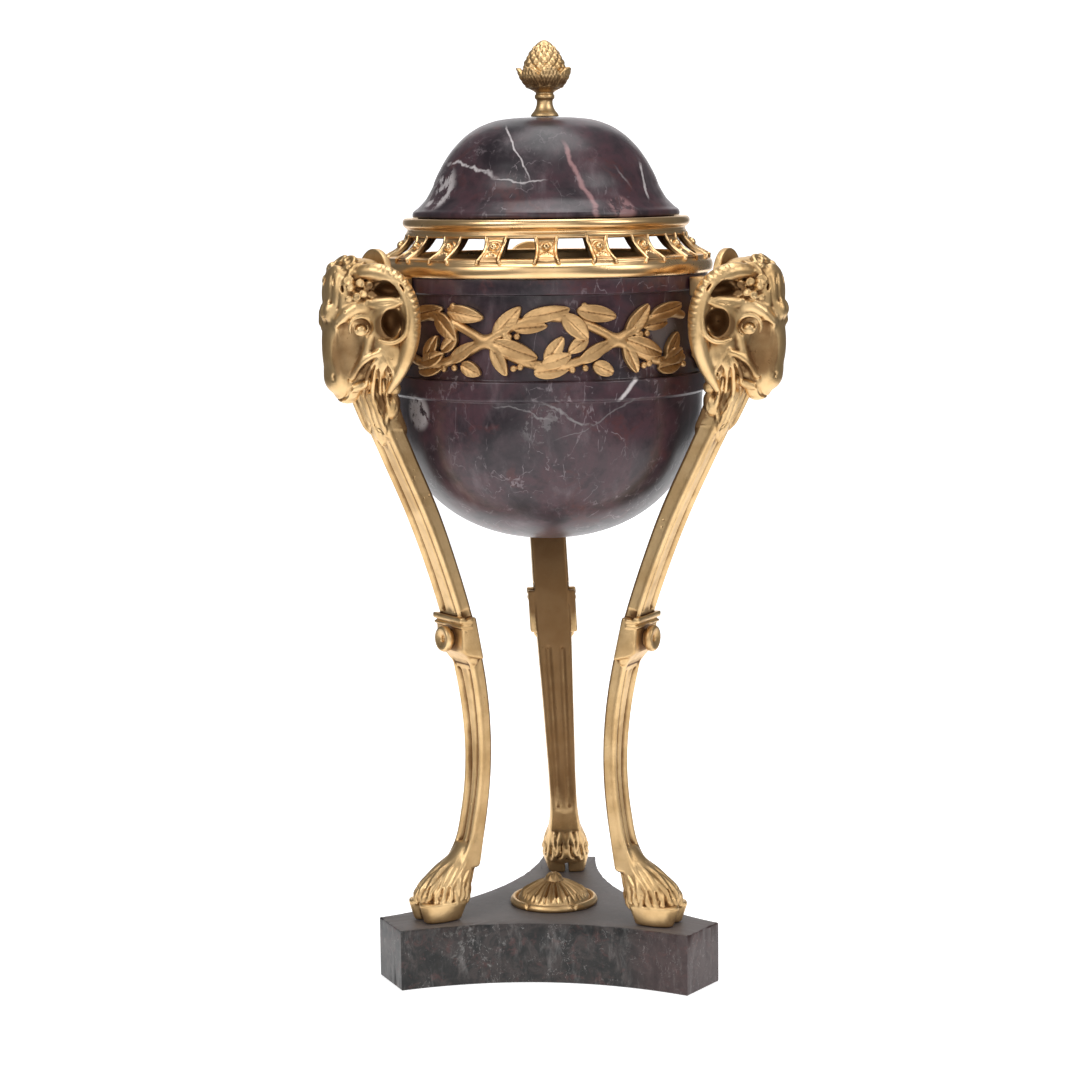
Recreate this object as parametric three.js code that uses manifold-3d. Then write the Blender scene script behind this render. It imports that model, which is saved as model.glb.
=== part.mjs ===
// Perfume burner: a turned marble bowl and lid on three cast, gilt ram's head legs.
// Millimetres, +Z up. The origin is the middle of the plinth's underside, and the front faces -Y.

import * as THREE from 'three';
import { mergeVertices } from 'three/addons/utils/BufferGeometryUtils.js';
import Module from 'manifold-3d';

const wasm = await Module();
wasm.setup();

// Overall sizes
const totalHeight = 420;
const seatGap = 0.3;

// Plinth: three canted corners joined by hollow sides
const plinthHeight = 27.5;
const cornerReach = 81.3;
const cantHalfWidth = 13;
const sideHollow = 15.8;
const plinthTurn = -5.5;
const sideSteps = 7;
const arris = 0.8;

// Rosette on the plinth
const rosetteRadius = 20.2;
const rosetteHeight = 14.3;
const petalCount = 10;

// Legs: each head's azimuth, and how its casting leans sideways about a height on the way to its hoof
const legStands = {
  left: { azimuth: 214.3, lean: 0.022, pivotHeight: 415 },
  right: { azimuth: 332.5, lean: 0.036, pivotHeight: 315 },
  rear: { azimuth: 91.5, lean: 0.044, pivotHeight: 205 },
};
const footHeight = plinthHeight + seatGap;

// Bowl
const bowlSegments = 24;
const bandRadius = 69.6;
const fasciaRadius = 72;
const bowlTop = 317.5;
const upperFasciaBottom = 311;
const lowerFasciaTop = 274;
const lowerFasciaBottom = 266.3;
const bowlShoulder = 264.2;
const bowlShoulderRadius = 69.4;
const bowlBottom = 198.7;
const bowlFullness = 2.2;
const bowlWall = 8;

// Laurel frieze: two branches that cross each other around the band
const friezeMiddle = 291.2;
const friezeInnerRadius = bandRadius + seatGap + 0.5;
const friezeDepth = 2;
const friezeAzimuths = { front: 270, right: 30, left: 150 };
const crossingAngle = 24.1;
const friezeHalfSpan = 56;
const branchSwing = 10.4;

// Gallery: two moulded rings joined by pierced ribs
const galleryBottom = bowlTop + seatGap;
const galleryTop = 342.4;
const ribCount = 18;

// Lid and finial
const lidBottom = galleryTop + seatGap;
const lidTop = 386.2;
const lidRimRadius = 59.6;
const lidWall = 7.5;
const finialFoot = lidTop + seatGap;

const marble = new THREE.MeshStandardMaterial({ color: 0x43303a, roughness: 0.25, metalness: 0 });
const plinthMarble = new THREE.MeshStandardMaterial({ color: 0x4a4745, roughness: 0.4, metalness: 0 });
const giltBronze = new THREE.MeshStandardMaterial({ color: 0xc99a4b, roughness: 0.38, metalness: 1 });

const radians = THREE.MathUtils.degToRad;
const lerp = THREE.MathUtils.lerp;
const vec = (x, y, z) => new THREE.Vector3(x, y, z);
const range = (count) => Array.from({ length: count }, (_, index) => index);

// Closed meshes and their joins

function tidyMesh(geometry) {
  geometry.deleteAttribute('normal');
  geometry.deleteAttribute('uv');
  const welded = mergeVertices(geometry, 1e-4);
  const index = Array.from(welded.index.array);
  const kept = [];
  for (let i = 0; i < index.length; i += 3) {
    const [a, b, c] = index.slice(i, i + 3);
    if (a !== b && b !== c && a !== c) kept.push(a, b, c);
  }
  welded.setIndex(kept);
  return welded;
}

function toSolid(geometry) {
  const mesh = tidyMesh(geometry);
  const vertProperties = new Float32Array(mesh.attributes.position.array);
  const triVerts = new Uint32Array(mesh.index.array);
  return new wasm.Manifold(new wasm.Mesh({ numProp: 3, vertProperties, triVerts }));
}

function toGeometry(solid) {
  const mesh = solid.getMesh();
  const geometry = new THREE.BufferGeometry();
  geometry.setAttribute('position', new THREE.BufferAttribute(new Float32Array(mesh.vertProperties), 3));
  geometry.setIndex(Array.from(mesh.triVerts));
  geometry.computeVertexNormals();
  return geometry;
}

function joined(geometries) {
  return geometries.map(toSolid).reduce((whole, next) => whole.add(next));
}

// A skin over rings of points that all hold the same number of points, with flat ends
function loft(rings) {
  const count = rings[0].length;
  const positions = rings.flat().flatMap((point) => point.toArray());
  const triangles = [];
  for (let row = 0; row < rings.length - 1; row += 1) {
    for (let i = 0; i < count; i += 1) {
      const a = row * count + i;
      const b = row * count + ((i + 1) % count);
      triangles.push(a, b, b + count, a, b + count, a + count);
    }
  }
  const last = (rings.length - 1) * count;
  for (let i = 1; i < count - 1; i += 1) {
    triangles.push(0, i + 1, i);
    triangles.push(last, last + i, last + i + 1);
  }
  const geometry = new THREE.BufferGeometry();
  geometry.setAttribute('position', new THREE.Float32BufferAttribute(positions, 3));
  geometry.setIndex(triangles);
  return facingOut(geometry);
}

function signedVolume(geometry) {
  const place = geometry.attributes.position;
  const index = geometry.index;
  const corner = (i) => new THREE.Vector3().fromBufferAttribute(place, index.getX(i));
  let volume = 0;
  for (let i = 0; i < index.count; i += 3) {
    volume += corner(i).dot(corner(i + 1).cross(corner(i + 2)));
  }
  return volume;
}

function facingOut(geometry) {
  if (signedVolume(geometry) < 0) {
    geometry.setIndex(Array.from(geometry.index.array).reverse());
  }
  return geometry;
}

// A turned form from a profile of [radius, height] pairs
function turned(profile, segments) {
  const points = profile.map(([radius, height]) => new THREE.Vector2(radius, height));
  const geometry = new THREE.LatheGeometry(points, segments);
  geometry.rotateX(Math.PI / 2);
  return facingOut(tidyMesh(geometry));
}

// A rounded blob, for curls, eyes and muscles
function blob(centre, size, across = 6, down = 4) {
  const geometry = new THREE.SphereGeometry(1, across, down);
  geometry.rotateX(Math.PI / 2);
  geometry.scale(...size);
  geometry.translate(...centre);
  return geometry;
}

// A tapering tube along a smooth path of [x, y, z, radius] knots
function taperedTube(knots, steps, sides, notch = 0) {
  const path = new THREE.CatmullRomCurve3(knots.map(([x, y, z]) => vec(x, y, z)));
  const frames = path.computeFrenetFrames(steps, false);
  const rings = range(steps + 1).map((step) => {
    const along = step / steps;
    const knot = along * (knots.length - 1);
    const low = Math.min(Math.floor(knot), knots.length - 2);
    const smooth = lerp(knots[low][3], knots[low + 1][3], knot - low);
    const radius = smooth * (step % 2 ? 1 : 1 - notch);
    const centre = path.getPoint(along);
    return range(sides).map((side) => {
      const turn = (side / sides) * 2 * Math.PI;
      return centre.clone()
        .addScaledVector(frames.normals[step], radius * Math.cos(turn))
        .addScaledVector(frames.binormals[step], radius * Math.sin(turn));
    });
  });
  return loft(rings);
}

// Plinth

function plinthOutline() {
  const points = [];
  const halfAngle = Math.atan2(cantHalfWidth, cornerReach);
  const reach = Math.hypot(cantHalfWidth, cornerReach);
  for (const corner of range(3)) {
    const azimuth = radians(90 + plinthTurn + corner * 120);
    const from = new THREE.Vector2(reach, 0).rotateAround(new THREE.Vector2(), azimuth + halfAngle);
    const to = new THREE.Vector2(reach, 0)
      .rotateAround(new THREE.Vector2(), azimuth + radians(120) - halfAngle);
    const inward = from.clone().add(to).normalize().negate();
    points.push(new THREE.Vector2(reach, 0).rotateAround(new THREE.Vector2(), azimuth - halfAngle));
    for (const step of range(sideSteps + 1)) {
      const along = step / sideSteps;
      const hollow = sideHollow * 4 * along * (1 - along);
      points.push(from.clone().lerp(to, along).addScaledVector(inward, hollow));
    }
  }
  return points;
}

function plinth() {
  const outline = plinthOutline();
  const at = (height, inset) => outline.map((point) => {
    const scaled = point.clone().multiplyScalar(1 - inset / cornerReach);
    return vec(scaled.x, scaled.y, height);
  });
  return loft([at(0, 0), at(plinthHeight - arris, 0), at(plinthHeight, arris)]);
}

// Rosette: a dome of rounded petals inside a plain rim, with a button on top
function rosette() {
  const rim = rosetteRadius;
  const dome = (radius, height, ripple) => range(petalCount * 2).map((i) => {
    const turn = (i / (petalCount * 2)) * 2 * Math.PI;
    const swell = i % 2 ? 1 : 1 - ripple;
    return vec(radius * swell * Math.cos(turn), radius * swell * Math.sin(turn), height);
  });
  const base = plinthHeight + seatGap;
  return loft([
    dome(rim, base, 0),
    dome(rim, base + 2.2, 0),
    dome(rim * 0.84, base + 3.6, 0.05),
    dome(rim * 0.62, base + 8.6, 0.13),
    dome(rim * 0.22, base + 10.8, 0.12),
    dome(rim * 0.14, base + rosetteHeight - seatGap, 0),
  ]);
}

// Leg casting, drawn in its own frame: +X is outward from the bowl and Y is across

const shankKnots = [
  // height, radius of the middle, width across, thickness
  [268, 89.5, 15, 8],
  [256, 84.5, 16.4, 8.2],
  [240, 76.8, 16.5, 8],
  [215, 64.9, 16.6, 7.8],
  [190, 55, 16.6, 7.2],
  [165, 46.6, 16.6, 6.8],
  [145, 41.1, 16, 6.6],
  [120, 36.8, 14.4, 6.3],
  [97, 35.8, 13.2, 6.2],
  [75, 38, 12.3, 6.8],
  [60, 41.2, 12.8, 7.6],
  [50, 45, 15, 10],
];
const shankSteps = 10;
const channelDepth = 1.2;
const channelBorder = 2.6;

// The shank's section is a strap with a sunk channel down its outer face
function shankSection(middle, outward, width, thickness) {
  const half = width / 2;
  const deep = thickness / 2;
  const corners = [
    [-deep, -half], [-deep, half], [deep, half], [deep, half - 1.4],
    [deep - channelDepth, half - channelBorder], [deep - channelDepth, channelBorder - half],
    [deep, 1.4 - half], [deep, -half],
  ];
  return corners.map(([out, across]) => middle.clone().addScaledVector(outward, out).setY(across));
}

function shank() {
  const path = new THREE.CatmullRomCurve3(shankKnots.map(([height, radius]) => vec(radius, 0, height)));
  const sizes = new THREE.CatmullRomCurve3(shankKnots.map(([, , width, thick]) => vec(width, thick, 0)));
  const rings = range(shankSteps + 1).map((step) => {
    const along = step / shankSteps;
    const tangent = path.getTangent(along);
    const outward = vec(-tangent.z, 0, tangent.x);
    const size = sizes.getPoint(along);
    return shankSection(path.getPoint(along), outward, size.x, size.y);
  });
  return loft(rings);
}

// The knee is a block with a projecting ledge above a hollow
const kneeWidth = 24.2;
function knee() {
  const profile = [
    [40.5, 149], [48.5, 147.5], [50, 150.5], [50.4, 163], [52.2, 164.6], [52.5, 166.8], [44.8, 167.4],
  ];
  const across = (side) => profile.map(([radius, height]) => vec(radius, side * kneeWidth / 2, height));
  return loft([across(-1), across(1)]);
}

const bossHeight = 156.3;
const bossRadius = 5.8;
const bossSeat = 50.5 + seatGap;
const bossReach = 5.2;

// A turned button with a shallow centre hole
function kneeBoss() {
  const face = bossReach;
  const button = turned([
    [0, 0], [bossRadius, 0], [bossRadius, face - 1.6], [bossRadius - 1.6, face], [0.9, face], [0, face - 1],
  ], 9);
  button.rotateY(Math.PI / 2);
  button.translate(bossSeat, 0, bossHeight);
  return button;
}

// Two toes with a cleft between them that opens outward
function toe(side) {
  const outline = (height, heel, tip, inner, outer) => [
    vec(heel, side * inner, height), vec(heel + 1, side * outer * 0.72, height),
    vec(lerp(heel, tip, 0.45), side * outer, height), vec(lerp(heel, tip, 0.82), side * outer * 0.92, height),
    vec(tip, side * outer * 0.55, height), vec(tip - 2, side * (inner + 1.6), height),
  ];
  return loft([
    outline(footHeight, 46.5, 69.6, 0.6, 11.4),
    outline(footHeight + 9.5, 45.5, 67, 0.6, 10.6),
  ]);
}

// Hair over the hoof: a swollen fetlock whose ridges are the locks
function fetlock() {
  const ring = (height, middle, reach, half, ridge) => range(12).map((i) => {
    const turn = (i / 12) * 2 * Math.PI;
    const swell = i % 2 ? 1 - ridge : 1;
    return vec(middle + reach * swell * Math.cos(turn), half * swell * Math.sin(turn), height);
  });
  return loft([
    ring(36, 55.8, 13.2, 10.8, 0.16),
    ring(41.5, 55, 13.8, 11, 0.1),
    ring(49, 50, 10.8, 8.6, 0.08),
    ring(60, 41.4, 4.4, 6, 0),
  ]);
}

// Ram's head: the face looks outward and the nose points down
function skull() {
  const sections = [
    // height, back, front, half width, depth of the curls
    [265.6, 99.5, 107, 5, 0],
    [271, 95, 111.4, 8.4, 0],
    [285, 86.5, 115, 10.8, 0],
    [299, 86.5, 114.6, 15.4, 0],
    [314, 86.5, 115, 15.4, 0.1],
    [327, 89, 110.4, 11, 0.16],
  ];
  const rings = sections.map(([height, back, front, half, curl]) => range(10).map((i) => {
    const turn = ((i + 0.5) / 10) * 2 * Math.PI;
    const swell = i % 2 ? 1 : 1 - curl;
    const narrow = 1 - 0.2 * Math.cos(turn);
    return vec(
      (back + front) / 2 + ((front - back) / 2) * swell * Math.cos(turn),
      half * narrow * swell * Math.sin(turn),
      height,
    );
  }));
  return loft(rings);
}

function horn(side) {
  return taperedTube([
    [103.5, side * 8, 318.5, 3],
    [97.5, side * 18, 321, 4.4],
    [89.6, side * 24, 314.5, 4.6],
    [86.2, side * 26, 302, 4.6],
    [86.2, side * 25.6, 289, 4.3],
    [88, side * 23, 277.5, 3.8],
    [90.5, side * 17, 268, 2.6],
  ], 8, 4, 0.12);
}

function ear(side) {
  const outline = [[99.5, 14.5, 303.6], [99.5, 15.5, 308.4], [94.5, 21.5, 310], [89.5, 26, 306.6], [94, 22, 303.2]];
  const face = (shift) => outline.map(([x, y, z]) => vec(x + shift, side * (y + shift), z));
  return loft([face(-1.2), face(1.2)]);
}

function brow(side) {
  return taperedTube([
    [99.5, side * 15.2, 298.6, 1.2],
    [105.5, side * 14.8, 300.6, 2],
    [111.2, side * 11, 297.4, 1.6],
    [112.6, side * 8.6, 291.5, 0.9],
  ], 3, 3);
}

// The forelock hangs from the crown down the forehead
function forelock() {
  return blob([110.8, 0, 305], [5.4, 5, 8.4], 5, 3);
}

// Beard: ridged locks that run down from the jaw onto the shank
function beard() {
  const ring = (height, middle, reach, half, ridge) => range(10).map((i) => {
    const turn = (i / 10) * 2 * Math.PI;
    const swell = i % 2 ? 1 - ridge : 1;
    return vec(middle + reach * swell * Math.cos(turn), half * swell * Math.sin(turn), height);
  });
  return loft([
    ring(288, 90.5, 7.5, 15.5, 0.1),
    ring(270, 90, 7.6, 14, 0.16),
    ring(241, 79.3, 5.6, 5, 0.1),
  ]);
}

// The plate behind the head has a rounded top and carries the lug that meets the bowl
function backPlate() {
  const half = 12.5;
  const low = 292;
  const spring = 316.4;
  const outline = [[-half, low], [half, low]];
  for (const step of range(7)) {
    const turn = (step / 6) * Math.PI;
    outline.push([half * Math.cos(turn), spring + half * Math.sin(turn)]);
  }
  const face = (radius) => outline.map(([across, height]) => vec(radius, across, height));
  return loft([face(86), face(89.4)]);
}

function lug() {
  const face = (radius) => [[-6, 308.4], [6, 308.4], [6, 316.6], [-6, 316.6]]
    .map(([across, height]) => vec(radius, across, height));
  return loft([face(fasciaRadius + seatGap + 0.2), face(90)]);
}

function legCasting() {
  const heads = [-1, 1].flatMap((side) => [
    horn(side), ear(side), brow(side), blob([106, side * 11.4, 294.4], [3.2, 2.6, 2.6], 5, 3),
  ]);
  const mouthCut = loft([-14, 14].map((across) => [
    vec(99, across, 274.6), vec(113.6, across, 270), vec(120, across, 268.6), vec(113.4, across, 271.4),
  ]));
  const casting = joined([
    shank(), knee(), toe(-1), toe(1), fetlock(), skull(), ...heads, forelock(), beard(), backPlate(), lug(),
  ]);
  return toGeometry(casting.subtract(toSolid(mouthCut)));
}

// Each casting leans: its hoof lies to one side of its head
function placed(geometry, { azimuth, lean, pivotHeight }) {
  const shear = new THREE.Matrix4().set(
    1, 0, 0, 0,
    0, 1, lean, -lean * pivotHeight,
    0, 0, 1, 0,
    0, 0, 0, 1,
  );
  const copy = geometry.clone();
  copy.applyMatrix4(shear);
  copy.rotateZ(radians(azimuth));
  return copy;
}

// Bowl: a full round basin under a plain band between two fascias, hollow to a true wall
function bowlCurve(shoulderRadius, shoulder, bottom, steps) {
  return range(steps + 1).map((step) => {
    const turn = (step / steps) * (Math.PI / 2);
    const power = 2 / bowlFullness;
    return [
      shoulderRadius * Math.sin(turn) ** power,
      shoulder - (shoulder - bottom) * Math.cos(turn) ** power,
    ];
  });
}

function bowl() {
  const outside = bowlCurve(bowlShoulderRadius, bowlShoulder, bowlBottom, 6);
  const inside = bowlCurve(bandRadius - bowlWall, bowlShoulder, bowlBottom + bowlWall, 3).reverse();
  const profile = [
    ...outside,
    [bowlShoulderRadius + 1.4, lowerFasciaBottom - 0.6],
    [fasciaRadius, lowerFasciaBottom],
    [fasciaRadius, lowerFasciaTop],
    [bandRadius, lowerFasciaTop + 0.6],
    [bandRadius, upperFasciaBottom - 0.6],
    [fasciaRadius, upperFasciaBottom],
    [fasciaRadius, bowlTop],
    [bandRadius - bowlWall, bowlTop],
    ...inside,
  ];
  return turned(profile, bowlSegments);
}

// Laurel frieze, drawn flat as arc angle and height, then laid on the band
function onBand(angle, height, rise) {
  const turn = radians(angle);
  const radius = friezeInnerRadius + rise;
  return vec(radius * Math.cos(turn), radius * Math.sin(turn), height);
}

const degreesPerMillimetre = THREE.MathUtils.radToDeg(1 / (friezeInnerRadius + friezeDepth / 2));
const branchHeight = (angle, sign) =>
  friezeMiddle + sign * branchSwing * Math.cos((angle / crossingAngle) * (Math.PI / 2));

function branch(sign) {
  const steps = 10;
  const half = 1.6;
  const rings = range(steps + 1).map((step) => {
    const angle = lerp(-friezeHalfSpan, friezeHalfSpan, step / steps);
    const ahead = branchHeight(angle + 1, sign) - branchHeight(angle - 1, sign);
    const run = 2 / degreesPerMillimetre;
    const length = Math.hypot(run, ahead);
    const shift = (half * ahead / length) * degreesPerMillimetre;
    const rise = half * run / length;
    const height = branchHeight(angle, sign);
    return [
      onBand(angle + shift, height - rise, 0),
      onBand(angle, height, friezeDepth * 0.8),
      onBand(angle - shift, height + rise, 0),
    ];
  });
  return loft(rings);
}

// A leaf is a long lozenge that rises to a midrib, set just proud of the branch's back
const leafLift = 0.35;
function leaf(angle, height, heading, length = 14.5, width = 5.6) {
  const turn = radians(heading);
  const lay = (along, across, rise) => {
    const right = along * length * Math.cos(turn) - across * width * Math.sin(turn);
    const up = along * length * Math.sin(turn) + across * width * Math.cos(turn);
    return onBand(angle + right * degreesPerMillimetre, height + up, rise + leafLift);
  };
  const rings = [
    [lay(0, -0.12, 0), lay(0, 0, 0.8), lay(0, 0.12, 0)],
    [lay(0.5, -0.5, 0), lay(0.5, 0, friezeDepth - leafLift), lay(0.5, 0.5, 0)],
    [lay(1, -0.1, 0), lay(1, 0, 0.8), lay(1, 0.1, 0)],
  ];
  return loft(rings);
}

function frieze() {
  const pieces = [branch(1), branch(-1)];
  const leafStations = [
    // angle along the branch, turn away from the branch
    [-50, 26], [-38, -28], [-15, 17], [-3, -28], [9, 28], [32, 28],
  ];
  for (const sign of [-1, 1]) {
    for (const [station, away] of leafStations) {
      const slope = branchHeight(station + 1, sign) - branchHeight(station - 1, sign);
      const along = THREE.MathUtils.radToDeg(Math.atan2(slope, 2 / degreesPerMillimetre));
      pieces.push(leaf(station, branchHeight(station, sign), along + sign * away));
    }
  }
  return toGeometry(joined(pieces));
}

// Gallery
// Its wall is one closed profile swept round, and every second ten degrees has a window
function gallery() {
  const columns = ribCount * 2;
  const low = galleryBottom;
  const profile = [
    [68.6, low], [73.2, low], [74.2, low + 3.2], [73, low + 6.6], [71.2, low + 8.2],
    [66, 329.6], [62.6, 334.4],
    [62.2, 337.4], [63.8, 339.2], [63.4, galleryTop], [58.8, galleryTop],
    [59.8, 334.4], [63.2, 328.6], [68.4, low + 8.2],
  ];
  // The window's sill, middle and head, as places in the profile on both faces of the wall
  const outerFace = [4, 5, 6];
  const innerFace = [13, 12, 11];
  const count = profile.length;
  const positions = range(columns).flatMap((column) => {
    const turn = radians(-90 + (column - 0.5) * (360 / columns));
    return profile.flatMap(([radius, height]) => [radius * Math.cos(turn), radius * Math.sin(turn), height]);
  });
  const triangles = [];
  const quad = (a, b, c, d) => triangles.push(a, b, c, a, c, d);
  const at = (column, place) => (column % columns) * count + (place % count);
  for (const column of range(columns)) {
    const pierced = column % 2 === 1;
    for (const place of range(count)) {
      const inWindow = [4, 5, 11, 12].includes(place);
      if (pierced && inWindow) continue;
      quad(at(column, place), at(column + 1, place), at(column + 1, place + 1), at(column, place + 1));
    }
    if (!pierced) continue;
    const [sill, , head] = range(3).map((row) => [outerFace[row], innerFace[row]]);
    quad(at(column, sill[0]), at(column + 1, sill[0]), at(column + 1, sill[1]), at(column, sill[1]));
    quad(at(column, head[1]), at(column + 1, head[1]), at(column + 1, head[0]), at(column, head[0]));
    for (const row of [0, 1]) {
      const [outLow, outHigh] = [outerFace[row], outerFace[row + 1]];
      const [inLow, inHigh] = [innerFace[row], innerFace[row + 1]];
      quad(at(column, outLow), at(column, inLow), at(column, inHigh), at(column, outHigh));
      quad(at(column + 1, outHigh), at(column + 1, inHigh), at(column + 1, inLow), at(column + 1, outLow));
    }
  }
  const geometry = new THREE.BufferGeometry();
  geometry.setAttribute('position', new THREE.Float32BufferAttribute(positions, 3));
  geometry.setIndex(triangles);
  return facingOut(geometry);
}

// Lid: a flattened dome that flares to a thin rim, with a lip that drops inside the gallery
function lid() {
  const outside = [
    [lidRimRadius, lidBottom], [lidRimRadius, lidBottom + 1.4], [55.4, 348.4], [51.4, 353.8], [48.6, 360.6],
    [43.6, 369.3], [36.6, 377.2], [28, 382.9], [16, lidTop], [0, lidTop],
  ];
  const inside = [
    [0, lidTop - lidWall], [20, 377], [39, 362], [50, lidBottom - 2.6],
    [57, lidBottom - 2.6], [57.2, lidBottom], [lidRimRadius, lidBottom],
  ];
  return turned([...outside, ...inside], bowlSegments);
}

// Finial: a pine cone in a cup of leaves on a short turned stem
function finial() {
  const stem = turned([
    [0, finialFoot], [6.4, finialFoot], [4, finialFoot + 4.6], [4.9, finialFoot + 6.7],
    [4.9, finialFoot + 7.8], [3.9, finialFoot + 8.6], [0, finialFoot + 10],
  ], 10);
  const cupRing = (radius, height, dent) => range(14).map((i) => {
    const turn = (i / 14) * 2 * Math.PI;
    const reach = radius * (i % 2 ? 1 - dent : 1);
    return vec(reach * Math.cos(turn), reach * Math.sin(turn), height);
  });
  const cup = loft([
    cupRing(4, 395, 0), cupRing(9.6, 399, 0.06), cupRing(12.4, 403.2, 0.12),
    cupRing(13.1, 406.4, 0.28), cupRing(9, 405, 0),
  ]);
  const coneRing = (radius, height, phase) => range(8).map((i) => {
    const turn = ((i + phase) / 8) * 2 * Math.PI;
    return vec(radius * Math.cos(turn), radius * Math.sin(turn), height);
  });
  const cone = loft([
    coneRing(8.6, 403, 0), coneRing(9.6, 406.4, 0.5), coneRing(9.3, 409.4, 0), coneRing(8.3, 412.2, 0.5),
    coneRing(6.9, 414.9, 0), coneRing(4.9, 417.3, 0.5), coneRing(2.4, 419.2, 0), coneRing(0.8, totalHeight, 0.5),
  ]);
  return toGeometry(joined([stem, cup, cone]));
}

// The whole object

const burner = new THREE.Group();

function addPiece(name, geometry, material) {
  geometry.computeVertexNormals();
  const mesh = new THREE.Mesh(geometry, material);
  mesh.name = name;
  burner.add(mesh);
}

addPiece('plinth', plinth(), plinthMarble);
addPiece('plinth_rosette', rosette(), giltBronze);

const casting = legCasting();
const boss = kneeBoss();
for (const [place, stand] of Object.entries(legStands)) {
  addPiece(`leg_${place}`, placed(casting, stand), giltBronze);
  addPiece(`knee_boss_${place}`, placed(boss, stand), giltBronze);
}

addPiece('bowl', bowl(), marble);

const laurel = frieze();
for (const [place, azimuth] of Object.entries(friezeAzimuths)) {
  addPiece(`frieze_${place}`, laurel.clone().rotateZ(radians(azimuth)), giltBronze);
}

addPiece('gallery', gallery(), giltBronze);
addPiece('lid', lid(), marble);
addPiece('finial', finial(), giltBronze);

export default burner;
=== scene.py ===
"""Dresses the perfume burner: cast gilt legs, gallery, friezes, rosette and finial, and turned marble.

Shapes are worked out in millimetres, in the frame's own axes, and turned into metres when a mesh is made.
Each leg is modelled once in its own frame, where +X points outward from the bowl and Y runs across.
"""

import math

import bpy
import numpy as np
import openvdb
from mathutils import Euler, Matrix, Vector


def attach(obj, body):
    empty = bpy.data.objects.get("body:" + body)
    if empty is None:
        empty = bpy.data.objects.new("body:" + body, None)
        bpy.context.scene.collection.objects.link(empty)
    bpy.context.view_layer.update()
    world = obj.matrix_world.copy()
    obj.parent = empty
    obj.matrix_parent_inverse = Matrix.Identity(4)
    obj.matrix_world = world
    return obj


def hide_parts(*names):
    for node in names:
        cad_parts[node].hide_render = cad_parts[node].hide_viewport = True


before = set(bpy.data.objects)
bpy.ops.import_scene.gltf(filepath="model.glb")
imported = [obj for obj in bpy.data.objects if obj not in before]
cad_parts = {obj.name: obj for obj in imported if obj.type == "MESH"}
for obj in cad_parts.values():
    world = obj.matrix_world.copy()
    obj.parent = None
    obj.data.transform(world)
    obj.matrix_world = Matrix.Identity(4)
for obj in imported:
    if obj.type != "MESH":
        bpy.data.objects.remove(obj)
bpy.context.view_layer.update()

MILLIMETRE = 0.001
TURN = 2 * math.pi

# Sizes shared with the solids, in millimetres
SEAT_GAP = 0.3
PLINTH_HEIGHT = 27.5
CORNER_REACH = 81.3
CANT_HALF_WIDTH = 13.0
SIDE_HOLLOW = 15.8
PLINTH_TURN = -5.5
ROSETTE_RADIUS = 20.2
FOOT_HEIGHT = PLINTH_HEIGHT + SEAT_GAP
BAND_RADIUS = 69.6
FASCIA_RADIUS = 72.0
BOWL_TOP = 317.5
BOWL_BOTTOM = 198.7
BOWL_SHOULDER = 264.2
BOWL_SHOULDER_RADIUS = 69.4
BOWL_FULLNESS = 2.2
BOWL_WALL = 8.0
UPPER_FASCIA_BOTTOM = 311.0
LOWER_FASCIA_TOP = 274.0
LOWER_FASCIA_BOTTOM = 266.3
FRIEZE_MIDDLE = 291.2
FRIEZE_BACK = 70.1
CROSSING_ANGLE = 23.3
CROSSING_SHIFT = 1.35
BRANCH_SWING = 10.4
GALLERY_TOP = 342.4
RIB_COUNT = 18
LID_BOTTOM = 342.7
LID_TOP = 386.2
LID_RIM_RADIUS = 59.6
LID_WALL = 7.5
FINIAL_FOOT = 386.5
FINIAL_TOP = 420.0

# Azimuth of each head, sideways lean of its casting, and the height that it leans about
LEG_STANDS = {"left": (214.3, 0.022, 415), "right": (332.5, 0.036, 315), "rear": (91.5, 0.044, 205)}
# How much each head is narrower from nose to nape than the drawn one, and higher, in millimetres
HEAD_SHAPES = {"left": (0.07, 1.6), "right": (0.0, 0.0), "rear": (0.03, 0.5)}
HEAD_BACK = 86
# The reshaping fades in between these heights
HEAD_FADE = (235, 285)
FRIEZE_AZIMUTHS = {"front": 270, "right": 30, "left": 150}

LEG_STEP = 0.46
TRIM_STEP = 0.34
LEG_TRIANGLES = 130000
FRIEZE_TRIANGLES = 60000
GALLERY_TRIANGLES = 160000
ROSETTE_TRIANGLES = 55000
FINIAL_TRIANGLES = 62000


# Curves and blends

def smooth_curve(at, places, values):
    """A cubic through the given values that keeps their slopes, for a number or an array."""
    places = np.asarray(places, float)
    values = np.asarray(values, float)
    if places[0] > places[-1]:
        places = places[::-1]
        values = values[::-1]
    slopes = np.gradient(values, places, axis=0)
    at = np.clip(np.asarray(at, float), places[0], places[-1])
    span = np.clip(np.searchsorted(places, at) - 1, 0, len(places) - 2)
    width = places[span + 1] - places[span]
    part = (at - places[span]) / width
    if values.ndim > 1:
        width = width[..., None]
        part = part[..., None]
    start = values[span] * (2 * part**3 - 3 * part**2 + 1)
    end = values[span + 1] * (3 * part**2 - 2 * part**3)
    leaving = slopes[span] * width * (part**3 - 2 * part**2 + part)
    arriving = slopes[span + 1] * width * (part**3 - part**2)
    return start + end + leaving + arriving


def columns_at(level, table):
    """The table's other columns, where its first one is at the level."""
    return np.moveaxis(smooth_curve(level, table[:, 0], table[:, 1:]), -1, 0)


def along_path(points, count):
    """A smooth path of count points through the given ones, which may hold a radius as well."""
    places = np.arange(len(points))
    return smooth_curve(np.linspace(0, len(points) - 1, count), places, np.asarray(points, float))


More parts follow.
